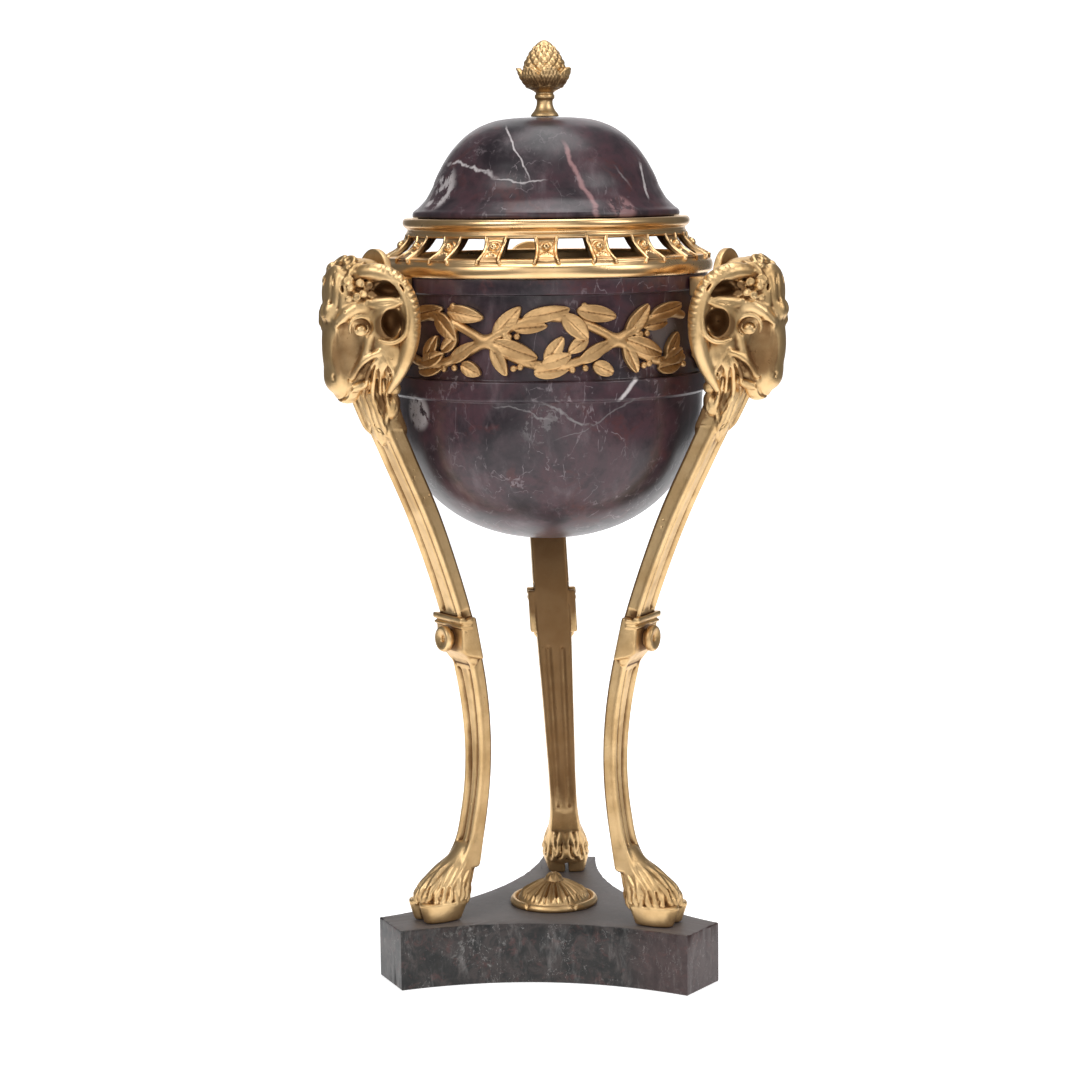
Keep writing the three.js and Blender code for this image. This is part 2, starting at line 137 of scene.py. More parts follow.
def soft_min(first, second, blend):
    overlap = np.maximum(blend - np.abs(first - second), 0) / blend
    return np.minimum(first, second) - overlap * overlap * blend / 4


def soft_max(first, second, blend):
    return -soft_min(-first, -second, blend)


def ease(value, low, high):
    part = np.clip((value - low) / (high - low), 0, 1)
    return part * part * (3 - 2 * part)


def unit(vector):
    vector = np.asarray(vector, float)
    return vector / np.linalg.norm(vector)


# Clay: a block of signed distances, negative inside, that forms are added to and cut from

class Clay:
    far = 9.0

    def __init__(self, low, high, step, mirrored=False):
        """When mirrored, the block holds the half with y above 0, and the mesh gets both halves."""
        self.step = step
        self.mirrored = mirrored
        self.low = np.array(low, float)
        if mirrored:
            self.low[1] = step / 2
        self.count = np.ceil((np.array(high) - self.low) / step).astype(int) + 1
        self.distance = np.full(self.count, self.far, np.float32)

    def window(self, low, high, margin):
        first = np.floor((np.array(low) - margin - self.low) / self.step).astype(int)
        last = np.ceil((np.array(high) + margin - self.low) / self.step).astype(int) + 1
        first = np.clip(first, 0, self.count)
        last = np.clip(last, 0, self.count)
        lines = [self.low[i] + np.arange(first[i], last[i]) * self.step for i in range(3)]
        x, y, z = (line.astype(np.float32) for line in lines)
        place = tuple(slice(a, b) for a, b in zip(first, last))
        return place, x[:, None, None], y[None, :, None], z[None, None, :]

    def add(self, form, blend):
        distance, low, high = form
        place, x, y, z = self.window(low, high, blend + 2 * self.step)
        if self.distance[place].size:
            self.distance[place] = soft_min(self.distance[place], distance(x, y, z), blend)

    def cut(self, form, blend):
        distance, low, high = form
        place, x, y, z = self.window(low, high, blend + 2 * self.step)
        if self.distance[place].size:
            self.distance[place] = soft_max(self.distance[place], -distance(x, y, z), blend)

    def ridge(self, knots, blend, count=0):
        """Adds a rope through the knots, smoothed to count of them when a count is given."""
        self.add(strand(along_path(knots, count) if count else knots), blend)

    def groove(self, knots, blend, count=0):
        self.cut(strand(along_path(knots, count) if count else knots), blend)

    def mesh(self):
        """Points in millimetres and quads."""
        limit = 2.5 * self.step
        block = np.clip(self.distance, -limit, limit).astype(np.float32)
        low = self.low.copy()
        if self.mirrored:
            block = np.concatenate([block[:, ::-1], block], axis=1)
            low[1] = self.step / 2 - self.step * self.count[1]
        grid = openvdb.FloatGrid(limit)
        grid.copyFromArray(block)
        points, _, quads = grid.convertToPolygons(0.0, 0.0)
        return points * self.step + low, quads[:, ::-1]


# Forms: each is a distance function with the corners of its box

UPRIGHT = ((1, 0, 0), (0, 1, 0), (0, 0, 1))


def egg(centre, size, axes=UPRIGHT):
    """An ellipsoid whose own directions are the rows of axes."""
    centre = np.array(centre, float)
    size = np.array(size, float)
    axes = np.array([unit(axis) for axis in axes])
    reach = np.abs(axes.T * size).sum(axis=1)

    def distance(x, y, z):
        offset = (x - centre[0], y - centre[1], z - centre[2])
        inner = 0
        outer = 0
        for axis, radius in zip(axes, size):
            along = offset[0] * axis[0] + offset[1] * axis[1] + offset[2] * axis[2]
            inner = inner + (along / radius) ** 2
            outer = outer + (along / radius**2) ** 2
        near = np.sqrt(inner)
        return near * (near - 1) / np.maximum(np.sqrt(outer), 1e-4)

    return distance, centre - reach, centre + reach


def strand(knots):
    """A rope of round cones through [x, y, z, radius] knots."""
    knots = np.asarray(knots, float)
    points = knots[:, :3]
    radii = knots[:, 3]

    def distance(x, y, z):
        nearest = None
        for start, end, first, last in zip(points, points[1:], radii, radii[1:]):
            run = end - start
            along = (x - start[0]) * run[0] + (y - start[1]) * run[1] + (z - start[2]) * run[2]
            along = np.clip(along / max(run @ run, 1e-6), 0, 1)
            gap = np.sqrt(
                (x - start[0] - along * run[0]) ** 2
                + (y - start[1] - along * run[1]) ** 2
                + (z - start[2] - along * run[2]) ** 2
            ) - (first + (last - first) * along)
            nearest = gap if nearest is None else np.minimum(nearest, gap)
        return nearest

    reach = radii.max()
    return distance, points.min(axis=0) - reach, points.max(axis=0) + reach


def hoop(centre, normal, radius, thickness):
    """A torus round the normal."""
    centre = np.array(centre, float)
    normal = unit(normal)

    def distance(x, y, z):
        out, side, up = (x - centre[0], y - centre[1], z - centre[2])
        rise = out * normal[0] + side * normal[1] + up * normal[2]
        across = np.sqrt(np.maximum(out**2 + side**2 + up**2 - rise**2, 0))
        return np.sqrt((across - radius) ** 2 + rise**2) - thickness

    reach = radius + thickness
    return distance, centre - reach, centre + reach


def block(centre, half, axes=UPRIGHT):
    """A box with rounded edges."""
    rounding = 0.4
    centre = np.array(centre, float)
    half = np.array(half, float) - rounding
    axes = np.array([unit(axis) for axis in axes])
    reach = np.abs(axes.T * (half + rounding)).sum(axis=1)

    def distance(x, y, z):
        offset = (x - centre[0], y - centre[1], z - centre[2])
        outside = 0
        inside = None
        for axis, length in zip(axes, half):
            gap = np.abs(offset[0] * axis[0] + offset[1] * axis[1] + offset[2] * axis[2]) - length
            outside = outside + np.maximum(gap, 0) ** 2
            inside = gap if inside is None else np.maximum(inside, gap)
        return np.sqrt(outside) + np.minimum(inside, 0) - rounding

    return distance, centre - reach, centre + reach


def profile_bar(outline, half, rounding):
    """A bar along y whose section in x and z is a convex outline, drawn anticlockwise."""
    outline = np.array(outline, float)

    def distance(x, y, z):
        section = None
        for start, end in zip(outline, np.roll(outline, -1, axis=0)):
            run = unit(end - start)
            side = (x - start[0]) * run[1] - (z - start[1]) * run[0]
            section = side if section is None else soft_max(section, side, rounding)
        return soft_max(section, np.abs(y) - half, rounding)

    low, bottom = outline.min(axis=0)
    high, top = outline.max(axis=0)
    return distance, (low, -half, bottom), (high, half, top)


def curl(clay, centre, outward, radius, start):
    """A lock of hair that winds up to its middle."""
    outward = unit(outward)
    side = unit(np.cross(outward, (0.3, 0.2, 1)))
    other = np.cross(outward, side)
    middle = np.array(centre, float) - outward * radius * 0.4
    clay.add(egg(middle - outward * radius * 0.5, (radius * 0.9,) * 3), 1.0)
    wound = []
    for part in np.linspace(0, 1, 14):
        turn = start + part * 0.85 * TURN
        reach = radius * (0.85 - 0.5 * part)
        spot = middle + side * reach * 1.15 * math.cos(turn) + other * reach * 0.9 * math.sin(turn)
        spot = spot + outward * radius * (0.2 + 0.15 * part)
        wound.append([*spot, radius * (0.15 + 0.17 * math.sin(math.pi * min(part * 1.1, 1)))])
    clay.ridge(wound, 0.35)


# Leg casting

# Height, radius of the middle, width across and thickness of the shank
SHANK = np.array([
    [272, 91.2, 14, 8], [268, 89.5, 15, 8], [256, 84.5, 16.4, 8.2], [240, 76.8, 16.5, 8],
    [215, 64.9, 16.6, 7.8], [190, 55, 16.6, 7.2], [165, 46.6, 16.6, 6.8], [145, 41.1, 16, 6.6],
    [120, 36.8, 14.4, 6.3], [97, 35.8, 13.2, 6.2], [75, 38, 12.3, 6.8], [60, 41.2, 12.8, 7.6],
    [50, 45, 15, 10],
])
GROOVE_TOP = 247
GROOVE_BOTTOM = 53
KNEE_LOW = 147.5
KNEE_HIGH = 167
KNEE_HALF_WIDTH = 11.1
KNEE_FACE = 50.5
BUTTON_HEIGHT = 156.3


def shank_form():
    heights = SHANK[:, 0]

    def distance(x, y, z):
        level = np.clip(z[0, 0], heights[-1], heights[0])
        middle, width, thick = columns_at(level, SHANK).astype(np.float32)
        above, below = (smooth_curve(level + step, heights, SHANK[:, 1]) for step in (1, -1))
        slope = (above - below) / 2
        lean = (1 / np.sqrt(1 + slope**2)).astype(np.float32)
        out = (x - middle) * lean
        half = width / 2
        deep = thick / 2
        strap = soft_max(np.abs(out) - deep, np.abs(y) - half, 1.6)
        # A thin bead along each outer edge, then a groove, and a low crown between the two grooves
        bead = np.sqrt((out - deep + 1.0) ** 2 + (np.abs(y) - half + 1.05) ** 2) - 1.35
        strap = soft_min(strap, bead, 0.4)
        ends = soft_max(z - GROOVE_TOP, GROOVE_BOTTOM - z, 4)
        knee = soft_max(KNEE_LOW - 5.5 - z, z - KNEE_HIGH - 1, 4)
        run = soft_max(ends, -knee, 3)
        groove = np.sqrt((out - deep + 0.1) ** 2 + ((np.abs(y) - half + 3.5) / 0.95) ** 2) - 1.7
        strap = soft_max(strap, -soft_max(groove, run, 2) * 0.9, 0.5)
        hollow = np.sqrt(((out - deep - 0.9) / 0.36) ** 2 + (y / ((half - 2.0) / 4.2)) ** 2) - 4.2
        strap = soft_max(strap, -soft_max(hollow, run, 2.5) * 0.5, 0.5)
        # Two soft flutes on the side that faces the bowl, below the knee
        flute = np.sqrt((out + deep + 0.5) ** 2 + (np.abs(y) - half * 0.42) ** 2) - 1.5
        strap = soft_max(strap, -soft_max(flute, soft_max(z - 141, 62 - z, 4), 2), 0.6)
        tip = soft_max(z - heights[0], heights[-1] - z, 2)
        return soft_max(strap, tip, 2)

    return distance, (28, -10, heights[-1]), (100, 10, heights[0])


def add_knee(clay):
    wide = KNEE_HALF_WIDTH
    outline = [[39.6, 146.8], [48.4, KNEE_LOW + 1.5], [50.6, 151], [51.2, 166], [43.8, 166.6]]
    clay.add(profile_bar(outline, wide, 1.0), 0.4)
    # The block's foot runs back into the strap in a long chamfer
    clay.add(profile_bar([[42, 145], [44.6, 144.6], [49.6, 151], [42, 152]], wide - 1.6, 1.2), 1.2)
    # The ledge is a fillet, a cove and a second fillet that stand out over the button
    for low, high, out in ((164.4, 166.9, 52.7), (161.9, 163.3, 52.0)):
        clay.add(profile_bar([[46, low], [out, low], [out, high], [46, high]], wide + 0.5, 0.6), 0.5)
    # A dark bevel where the strap enters from above
    clay.cut(block((45.2, wide + 0.8, 168.4), (4.8, 4.0, 1.9), ((1, 0, -0.2), (0, 1, 0), (0.2, 0, 1))), 0.5)
    clay.cut(egg((52.7, 0, BUTTON_HEIGHT), (2.6, 6.9, 6.9)), 0.6)


FETLOCK_RINGS = np.array([
    # Height, middle, reach outward, half width
    [33, 56, 11, 8.6], [36, 55.8, 11.8, 9.4], [41.5, 55, 12.2, 9.8], [49, 50, 9.8, 7.9],
    [56, 44.2, 6.2, 6.5], [61.5, 41, 4.6, 6.2],
])


def fetlock_spot(height, turn, swell):
    middle, reach, half = columns_at(height, FETLOCK_RINGS)
    return [middle + reach * swell * math.cos(turn), half * swell * math.sin(turn), height]


def fetlock_form():
    heights = FETLOCK_RINGS[:, 0]

    def distance(x, y, z):
        middle, reach, half = columns_at(z[0, 0], FETLOCK_RINGS).astype(np.float32)
        along = (x - middle) / reach
        across = y / half
        near = np.sqrt(along**2 + across**2)
        turn = np.arctan2(across, along)
        # Fine wavy strands
        ripple = np.cos(turn * 17 + 1.6 * np.sin((z - 36) / 3.4)) * ease(z, 37, 41) * (1 - ease(z, 49, 54))
        side = (near - 1) * np.minimum(reach, half) * 0.85 + 0.22 * ripple
        return soft_max(side, soft_max(z - heights[-1], heights[0] - z, 2), 2)

    return distance, (36, -11, heights[0]), (69, 11, heights[-1])


def add_hoof(clay):
    # Each toe is a convex outline with a straight cleft side and walls that draw in towards the ground
    outline = np.array([
        [46.4, 0.5], [60, 0.6], [69.4, 1.4], [71.0, 4.2], [68.2, 9.6], [58, 12.2], [47.6, 10.4],
    ])
    top = FOOT_HEIGHT + 9.6

    def distance(x, y, z):
        wall = None
        for start, end in zip(outline, np.roll(outline, -1, axis=0)):
            run = unit(end - start)
            side = (x - start[0]) * run[1] - (y - start[1]) * run[0]
            along_cleft = start[1] < 1 and end[1] < 2
            side = side + (0.03 * (z - FOOT_HEIGHT) if along_cleft else -0.3 * (z - top))
            wall = side if wall is None else soft_max(wall, side, 1.8)
        wall = soft_max(wall, z - top, 2)
        return soft_max(wall, FOOT_HEIGHT - z, 0.9)

    clay.add((distance, (45, 0, FOOT_HEIGHT - 1), (72, 13, top)), 0.4)
    clay.add(fetlock_form(), 1.0)
    # Short wavy locks spring from the pastern and overlap, with deep pits between their tips
    for index, (angle, high, low, radius) in enumerate((
        (0, 50, 37.5, 1.5), (17, 53, 41, 1.3), (32, 50, 37.2, 1.5), (48, 54, 40.5, 1.3),
        (64, 51, 36.6, 1.5), (80, 54, 40, 1.3), (95, 52, 37, 1.5), (111, 54, 40.4, 1.3),
        (127, 51, 37.4, 1.5), (143, 53, 41, 1.3), (159, 50, 38, 1.5), (175, 52, 41, 1.2),
    )):
        turn = math.radians(angle)
        bend = 0.1 * math.sin(index * 2.4)
        knots = []
        for part, share, sway in (
            (0, 0.35, -0.6), (0.25, 0.8, -0.9), (0.55, 1.0, 0.3), (0.8, 0.9, 1.2), (1, 0.45, 0.4),
        ):
            height = high + (low - high) * part
            knots.append([*fetlock_spot(height, turn + bend * sway, 0.93 + 0.05 * part), radius * share])
        clay.ridge(knots, 0.5, 14)
    for index, angle in enumerate((9, 25, 41, 57, 73, 88, 104, 120, 136, 152, 167)):
        turn = math.radians(angle)
        low = 38.6 + 1.6 * math.sin(index * 2.2)
        clay.groove([
            [*fetlock_spot(low + 4.6, turn, 1.04), 0.35],
            [*fetlock_spot(low + 1.6, turn + 0.05, 1.05), 0.8], [*fetlock_spot(low, turn + 0.1, 1.06), 0.5],
        ], 0.5)
        knots = [
            [*fetlock_spot(low + 3.4, turn + 0.1, 0.98), 0.8],
            [*fetlock_spot(low, turn + 0.16, 1.03), 1.35],
            [*fetlock_spot(low - 2.2, turn + 0.04, 1.04), 1.0],
            [*fetlock_spot(low - 2.6, turn - 0.1, 1.05), 0.5],
        ]
        clay.ridge(knots, 0.35, 9)
    # The cleft stays open between the toes
    clay.cut(profile_bar([[57, 26], [76, 26], [76, 37.4], [64, 36.4]], 0.8, 0.4), 0.4)


# The head's profile by height: back, forehead and nose line, half widths at the back and along the nose
SKULL = np.array([
    [263, 101, 102.5, 4.2, 3.0], [265.5, 100, 105.2, 5.4, 4.6], [268, 99, 108.2, 6.4, 5.4],
    [271, 98, 110.5, 7.4, 5.7], [274, 97, 112.2, 8.4, 5.5], [279, 95, 113.8, 10.2, 4.8],
    [284, 92.5, 114.9, 12.0, 4.2], [290, 90, 115.1, 13.4, 4.2], [297, 88.6, 113.8, 14.4, 5.4],
    [304, 88, 112.2, 15.0, 7], [312, 88, 110, 14, 7.8], [319, 89, 107.6, 11.6, 7.4],
    [325, 91, 103.5, 8.6, 6],
])
CHEEK_PLACE = 99.5


def skull_form():
    heights = SKULL[:, 0]

    def distance(x, y, z):
        back, nose, cheek_half, nose_half = columns_at(z[0, 0], SKULL).astype(np.float32)
        part = np.clip((nose - x) / np.maximum(nose - CHEEK_PLACE, 4), 0, 1) ** 0.8
        side = (np.abs(y) - nose_half - (cheek_half - nose_half) * part) * 0.82
        face = soft_max(side, x - nose, 3.6)
        face = soft_max(face, back - x, 3)
        return soft_max(face, soft_max(z - heights[-1], heights[0] - z, 3), 4)

    return distance, (86, -17, heights[0]), (117, 17, heights[-1])


# The horn leaves the crown, sweeps back and down beside the bowl, and ends behind the jaw
HORN_PATH = [
    [104.0, 8.5, 318.4, 2.4], [101.5, 14, 319.8, 3.2], [97, 19.4, 319.2, 3.9], [91.6, 23.6, 315, 4.4],
    [87.6, 25.7, 307.6, 4.6], [86.2, 26.2, 298.6, 4.5], [86.4, 25.4, 289.6, 4.1], [88, 22.8, 281, 3.5],
    [89.6, 19.4, 274.5, 2.6], [90.6, 15.6, 269.4, 1.5],
]
HORN_RIM = [
    [104.4, 13.4, 318.4, 0.7], [102.4, 16.6, 318.6, 0.8], [98.4, 21.6, 318, 0.95],
    [94.2, 25.6, 315.4, 1.05], [91, 28, 309.4, 1.1], [89.4, 29, 302, 1.1], [89.9, 28.4, 294.6, 1.1],
    [92.4, 26, 290.8, 1.1], [95.6, 22.8, 289.9, 1.0], [98.8, 19.6, 291, 0.7],
]
HORN_CENTRE = (97, 300)
NOTCH_PITCH = 2.5
NOTCH_DEPTH = 0.55


def horn_form():
    knots = along_path(HORN_PATH, 40)
    points = knots[:, :3]
    radii = knots[:, 3]
    lengths = np.concatenate([[0], np.cumsum(np.linalg.norm(np.diff(points, axis=0), axis=1))])

    def distance(x, y, z):
        nearest = np.full(np.broadcast_shapes(x.shape, y.shape, z.shape), 99, np.float32)
        travelled = np.zeros_like(nearest)
        beside = np.zeros_like(nearest)
        for i in range(len(points) - 1):
            start = points[i]
            run = points[i + 1] - start
            along = (x - start[0]) * run[0] + (y - start[1]) * run[1] + (z - start[2]) * run[2]
            along = np.clip(along / (run @ run), 0, 1)
            spot = [start[axis] + along * run[axis] for axis in range(3)]
            gap = np.sqrt((x - spot[0]) ** 2 + (y - spot[1]) ** 2 + (z - spot[2]) ** 2)
            gap = gap - radii[i] - along * (radii[i + 1] - radii[i])
            away = unit((start + run / 2)[[0, 2]] - HORN_CENTRE)
            # Close to 1 on the strip between the horn's outer edge and its side, where the ridges are cut
            lean = 0.5 * ((x - spot[0]) * away[0] + (z - spot[2]) * away[1]) + 0.87 * (y - spot[1])
            closer = gap < nearest
            nearest = np.where(closer, gap, nearest)
            travelled = np.where(closer, lengths[i] + along * (lengths[i + 1] - lengths[i]), travelled)
            beside = np.where(closer, lean / radii[i], beside)
        strip = ease(beside, 0.72, 0.9) * (1 - ease(travelled / lengths[-1], 0.5, 0.72))
        wave = 0.5 + 0.5 * np.cos(TURN * travelled / NOTCH_PITCH)
        return nearest + NOTCH_DEPTH * strip * wave**3

    reach = radii.max()
    return distance, points.min(axis=0) - reach, points.max(axis=0) + reach


EYE = np.array([103.9, 12.7, 296.0])
EYE_OUT = unit((0.42, 0.9, 0.06))
EYE_FRONT = unit(np.cross(EYE_OUT, (0, 0, 1)))
EYE_UP = np.cross(EYE_FRONT, EYE_OUT)


def eye_arc(reach, start, end, thick, lift, stretch, droop=0.0):
    """A line round the eye from start to end degrees, where 0 points to the nose and 90 up."""
    knots = []
    for part in np.linspace(0, 1, 11):
        turn = math.radians(start + (end - start) * part)
        spot = EYE + EYE_FRONT * reach * stretch * math.cos(turn) + EYE_UP * reach * math.sin(turn)
        spot = spot + EYE_OUT * (lift - droop * (2 * part - 1) ** 2)
        knots.append([*spot, thick * (0.45 + 0.55 * math.sin(math.pi * part))])
    return strand(knots)


def add_eye(clay):
    clay.cut(egg(EYE + EYE_OUT * 2.2 + EYE_UP * 0.4, (5.0, 2.8, 4.4), (EYE_FRONT, EYE_OUT, EYE_UP)), 1.0)
    clay.add(egg(EYE + EYE_OUT * 0.2 - EYE_UP * 0.7, (2.5, 2.3, 2.3), (EYE_FRONT, EYE_OUT, EYE_UP)), 0.2)
    clay.cut(egg(EYE + EYE_OUT * 2.6 + EYE_FRONT * 0.3 - EYE_UP * 0.5, (0.5, 0.6, 0.45)), 0.2)
    # The upper lid is a heavy arch over a deep crease, and a thin rim and a fold lie under the eye
    clay.add(eye_arc(4.9, -28, 168, 1.15, 1.8, stretch=1.05, droop=0.7), 0.4)
    clay.cut(eye_arc(3.5, 8, 160, 0.8, 1.8, stretch=1.1), 0.3)
    clay.add(eye_arc(2.9, 150, 395, 0.5, 1.2, stretch=1.1), 0.25)
    clay.cut(eye_arc(4.2, 195, 335, 0.4, 0.7, stretch=1.15), 0.4)
    clay.cut(eye_arc(6.1, 20, 150, 0.4, 0.9, stretch=1.05, droop=0.6), 0.5)


def add_face(clay):
    clay.add(skull_form(), 1.0)
    # The mass that the horn wraps round
    clay.add(egg((93, 10, 302), (8.5, 15.5, 18)), 3)
    clay.add(egg((93.5, 11.5, 284), (6, 9.5, 10)), 3)
    clay.add(egg((98.6, 11.6, 299), (5.6, 5.4, 8)), 2.5)
    clay.add(egg((90.6, 18.4, 284.5), (4.2, 5.6, 7.5)), 2)
    # The brow runs down from the fringe to the nose
    clay.ridge([
        [112.0, 6.8, 298.2, 1.6], [109.2, 9.9, 302, 2.4], [105.4, 12, 304.6, 2.6], [101, 13.6, 305, 2.2],
    ], 3)
    # Muzzle and chin
    clay.add(egg((108.4, 0, 275), (5.2, 6.8, 6.6)), 2.4)
    clay.add(egg((103.4, 0, 268), (5.0, 5.6, 4.2)), 1.5)
    # The broad hollow beside the nose, and its narrower reach over the nose's edge
    along = unit((0.16, -0.05, 0.99))
    for middle, facing, push, size, blend in (
        ((107.8, 9.8, 285.8), (0.56, 0.83, 0.03), 1.3, (7.3, 4.4, 12.8), 0.6),
        ((112.5, 6.6, 284.8), (0.62, 0.78, 0), 1.5, (4.4, 2.9, 11.6), 0.5),
    ):
        outward = unit(facing)
        axes = (np.cross(outward, along), outward, along)
        clay.cut(egg(np.array(middle) + outward * push, size, axes), blend)
    # The cheek's ridge runs from the eye to the mouth
    clay.ridge([
        [100.3, 13.7, 292, 1.7], [100.9, 13.0, 286.4, 1.9], [102.9, 10.4, 280.4, 1.6],
        [105.3, 8.0, 275.2, 1.2],
    ], 1.6)
    # The jaw's edge rises to a peak behind the cheek, with a dark recess under it
    clay.ridge([
        [97.4, 18.0, 285.6, 1.2], [100.4, 14.8, 283.8, 1.4], [103.1, 11.8, 280.7, 1.3],
        [105.0, 9.0, 277.1, 1.1], [106.4, 7.2, 274.4, 0.8],
    ], 1.3, 12)
    clay.groove([
        [98.8, 17.4, 283, 0.6], [100.7, 14.4, 280, 1.3], [102.3, 11.8, 277.2, 1.7],
        [103.0, 9.8, 274.9, 1.4], [103.2, 9.0, 273.2, 0.7],
    ], 0.8, 12)
    # Lips, and the mouth's upright slit
    clay.ridge([
        [104.8, 6.6, 270.2, 1.4], [101.8, 7.6, 271, 2.0], [98.6, 8.8, 272.4, 1.6], [96.6, 10, 274.2, 0.9],
    ], 0.7, 10)
    clay.groove([
        [107.2, 7.5, 274.6, 0.4], [105.9, 7.6, 271.2, 0.8], [106.1, 6.2, 268.6, 0.8],
        [106.4, 4.2, 266.6, 0.7], [106.6, 0, 265.6, 0.6],
    ], 0.3, 14)
    clay.cut(egg((113.6, 4.4, 275.2), (1.4, 1.0, 1.7), ((1, 0.6, 0), (-0.6, 1, 0), (0, 0, 1))), 0.6)
    add_eye(clay)


def add_ear_and_horn(clay):
    clay.add(horn_form(), 0.8)
    # Two deep hollows inside the horn, with the ear lying between them
    clay.cut(egg((95.0, 26.4, 298.0), (5.4, 10.5, 6.6), ((1, -0.42, -0.1), (0.42, 1, 0), (0.1, 0, 1))), 0.7)
    clay.cut(egg((97.6, 26, 312.6), (7.2, 11, 3.9), ((1, -0.4, 0.12), (0.4, 1, 0), (-0.12, 0, 1))), 0.7)
    clay.ridge(HORN_RIM, 0.4, 24)
    root = np.array([101.6, 15.6, 306.4])
    tip = np.array([92.2, 27.2, 307])
    along = unit(tip - root)
    up = unit(np.cross(np.cross(along, (0, 0, 1)), along))
    out = np.cross(up, along)
    out = out if out[0] > 0 else -out
    middle = (root + tip) / 2
    length = np.linalg.norm(tip - root) / 2 + 0.6
    clay.add(egg(middle, (length, 3.0, 1.9), (along, up, out)), 0.6)
    clay.groove([
        [*(root + along * 2.5 + out * 2.1), 0.3], [*(middle + out * 2.2 - up * 0.4), 0.7],
        [*(tip - along * 2 + out * 1.5), 0.3],
    ], 0.5, 9)
    # The ear's lower edge turns down to the corner of the eye
    clay.ridge([
        [*(tip + out * 0.3), 0.9], [*(middle - up * 2.5 + out * 0.6), 0.75], [100, 17.4, 303.6, 0.75],
        [101.2, 16, 300.6, 0.5],
    ], 0.4, 14)


def forelock_spot(across, height, lift=0.0):
    """A point on the forelock's smooth front."""
    inside = 1 - (across / 9.6) ** 2 - ((height - 310) / 12.5) ** 2
    return [108.5 + 5.4 * math.sqrt(max(inside, 0)) + lift, across, height]


def add_hair(clay):
    # One smooth forelock hangs over the forehead to a knob, faintly rippled and pierced by two slits
    clay.add(egg((108.5, 0, 310), (5.4, 9.6, 12.5)), 1.2)
    clay.add(egg((113.4, 1.6, 303), (2.7, 2.6, 3.6)), 3)
    for places in (((2.6, 318), (3.4, 312), (3.0, 307)), ((7.0, 317), (7.4, 311), (6.4, 305))):
        clay.groove([[*forelock_spot(y, z, 0.25), 0.5] for y, z in places], 1.2, 12)
    clay.cut(egg(forelock_spot(3.9, 315.4), (2.6, 0.6, 1.7), ((1, 0, 0.2), (0, 1, 0.25), (0, -0.25, 1))), 0.3)
    slit_axes = ((0.8, 0.6, 0), (-0.6, 0.8, 0.3), (0.2, -0.3, 1))
    clay.cut(egg((110.8, 8.2, 312.8), (2.4, 0.65, 1.8), slit_axes), 0.3)
    # Small irregular curls make the fringe, from the horn's root to the brow
    for place, radius, start in (
        ((101.4, 15.6, 314.4), 2.3, 0.4), ((105.2, 13.9, 315), 2.2, 2.0), ((108.2, 11.6, 313), 1.9, 4.1),
        ((100.4, 17.0, 310), 2.0, 3.0), ((103.6, 15.4, 310.8), 2.1, 5.2), ((106.8, 13.5, 309.6), 2.2, 0.9),
        ((109.0, 10.8, 308.6), 1.5, 2.7), ((102.4, 16.2, 307), 1.7, 1.5),
    ):
        curl(clay, place, (0.7, 0.7, 0.05), radius, start)
    # Larger locks cover the crown
    for place, outward, radius, start in (
        ((109.6, 0, 319.2), (1, 0.1, 0.5), 4.6, 0.0), ((108.2, 6.6, 320.0), (0.9, 0.35, 0.5), 4.0, 1.2),
        ((104.6, 11.6, 320.6), (0.7, 0.8, 0.4), 3.7, 2.4), ((104.6, 3.6, 324.4), (0.6, 0.1, 1), 4.3, 3.0),
        ((101.2, 8.4, 323.6), (0.3, 0.4, 1), 3.5, 4.2), ((98.6, 2.4, 324.8), (0.1, 0.1, 1), 3.0, 0.8),
        ((101.0, 13.6, 320.4), (0.3, 0.8, 0.6), 2.3, 1.8),
        ((108.8, 10.4, 315.8), (0.8, 0.7, 0.1), 2.6, 3.6),
    ):
        curl(clay, place, outward, radius, start)
    pit_axes = ((0.8, 0.4, -0.4), (-0.4, 0.9, 0), (0.4, 0.2, 0.9))
    for place, radius in (
        ((107.6, 8.6, 322.4), 0.8), ((103.6, 10.8, 323.8), 0.75), ((104.2, 5.4, 326.2), 0.6),
        ((108.9, 3.0, 322.6), 0.6), ((98.4, 12.6, 323.6), 0.7),
    ):
        clay.cut(egg(place, (radius, radius, radius * 2.2), pit_axes), 0.4)


def beard_face(height):
    """How far out the beard's flat front lies, where it covers the shank."""
    return 84.9 + 0.452 * (height - 245)


def beard_form():
    def distance(x, y, z):
        front = (x - beard_face(z) - 0.2) * 0.91
        half = 8.4 * ease(z, 243.5, 253.5) + 0.9 * ease(z, 256, 264)
        sides = (np.abs(y) - half) * 0.8
        ends = soft_max(z - 274, 244 - z, 2)
        behind = (beard_face(z) - 11.5 - x) * 0.91
        return soft_max(soft_max(soft_max(front, sides, 2.2), behind, 1), ends, 2)

    return distance, (76, -10, 243), (100, 10, 274)


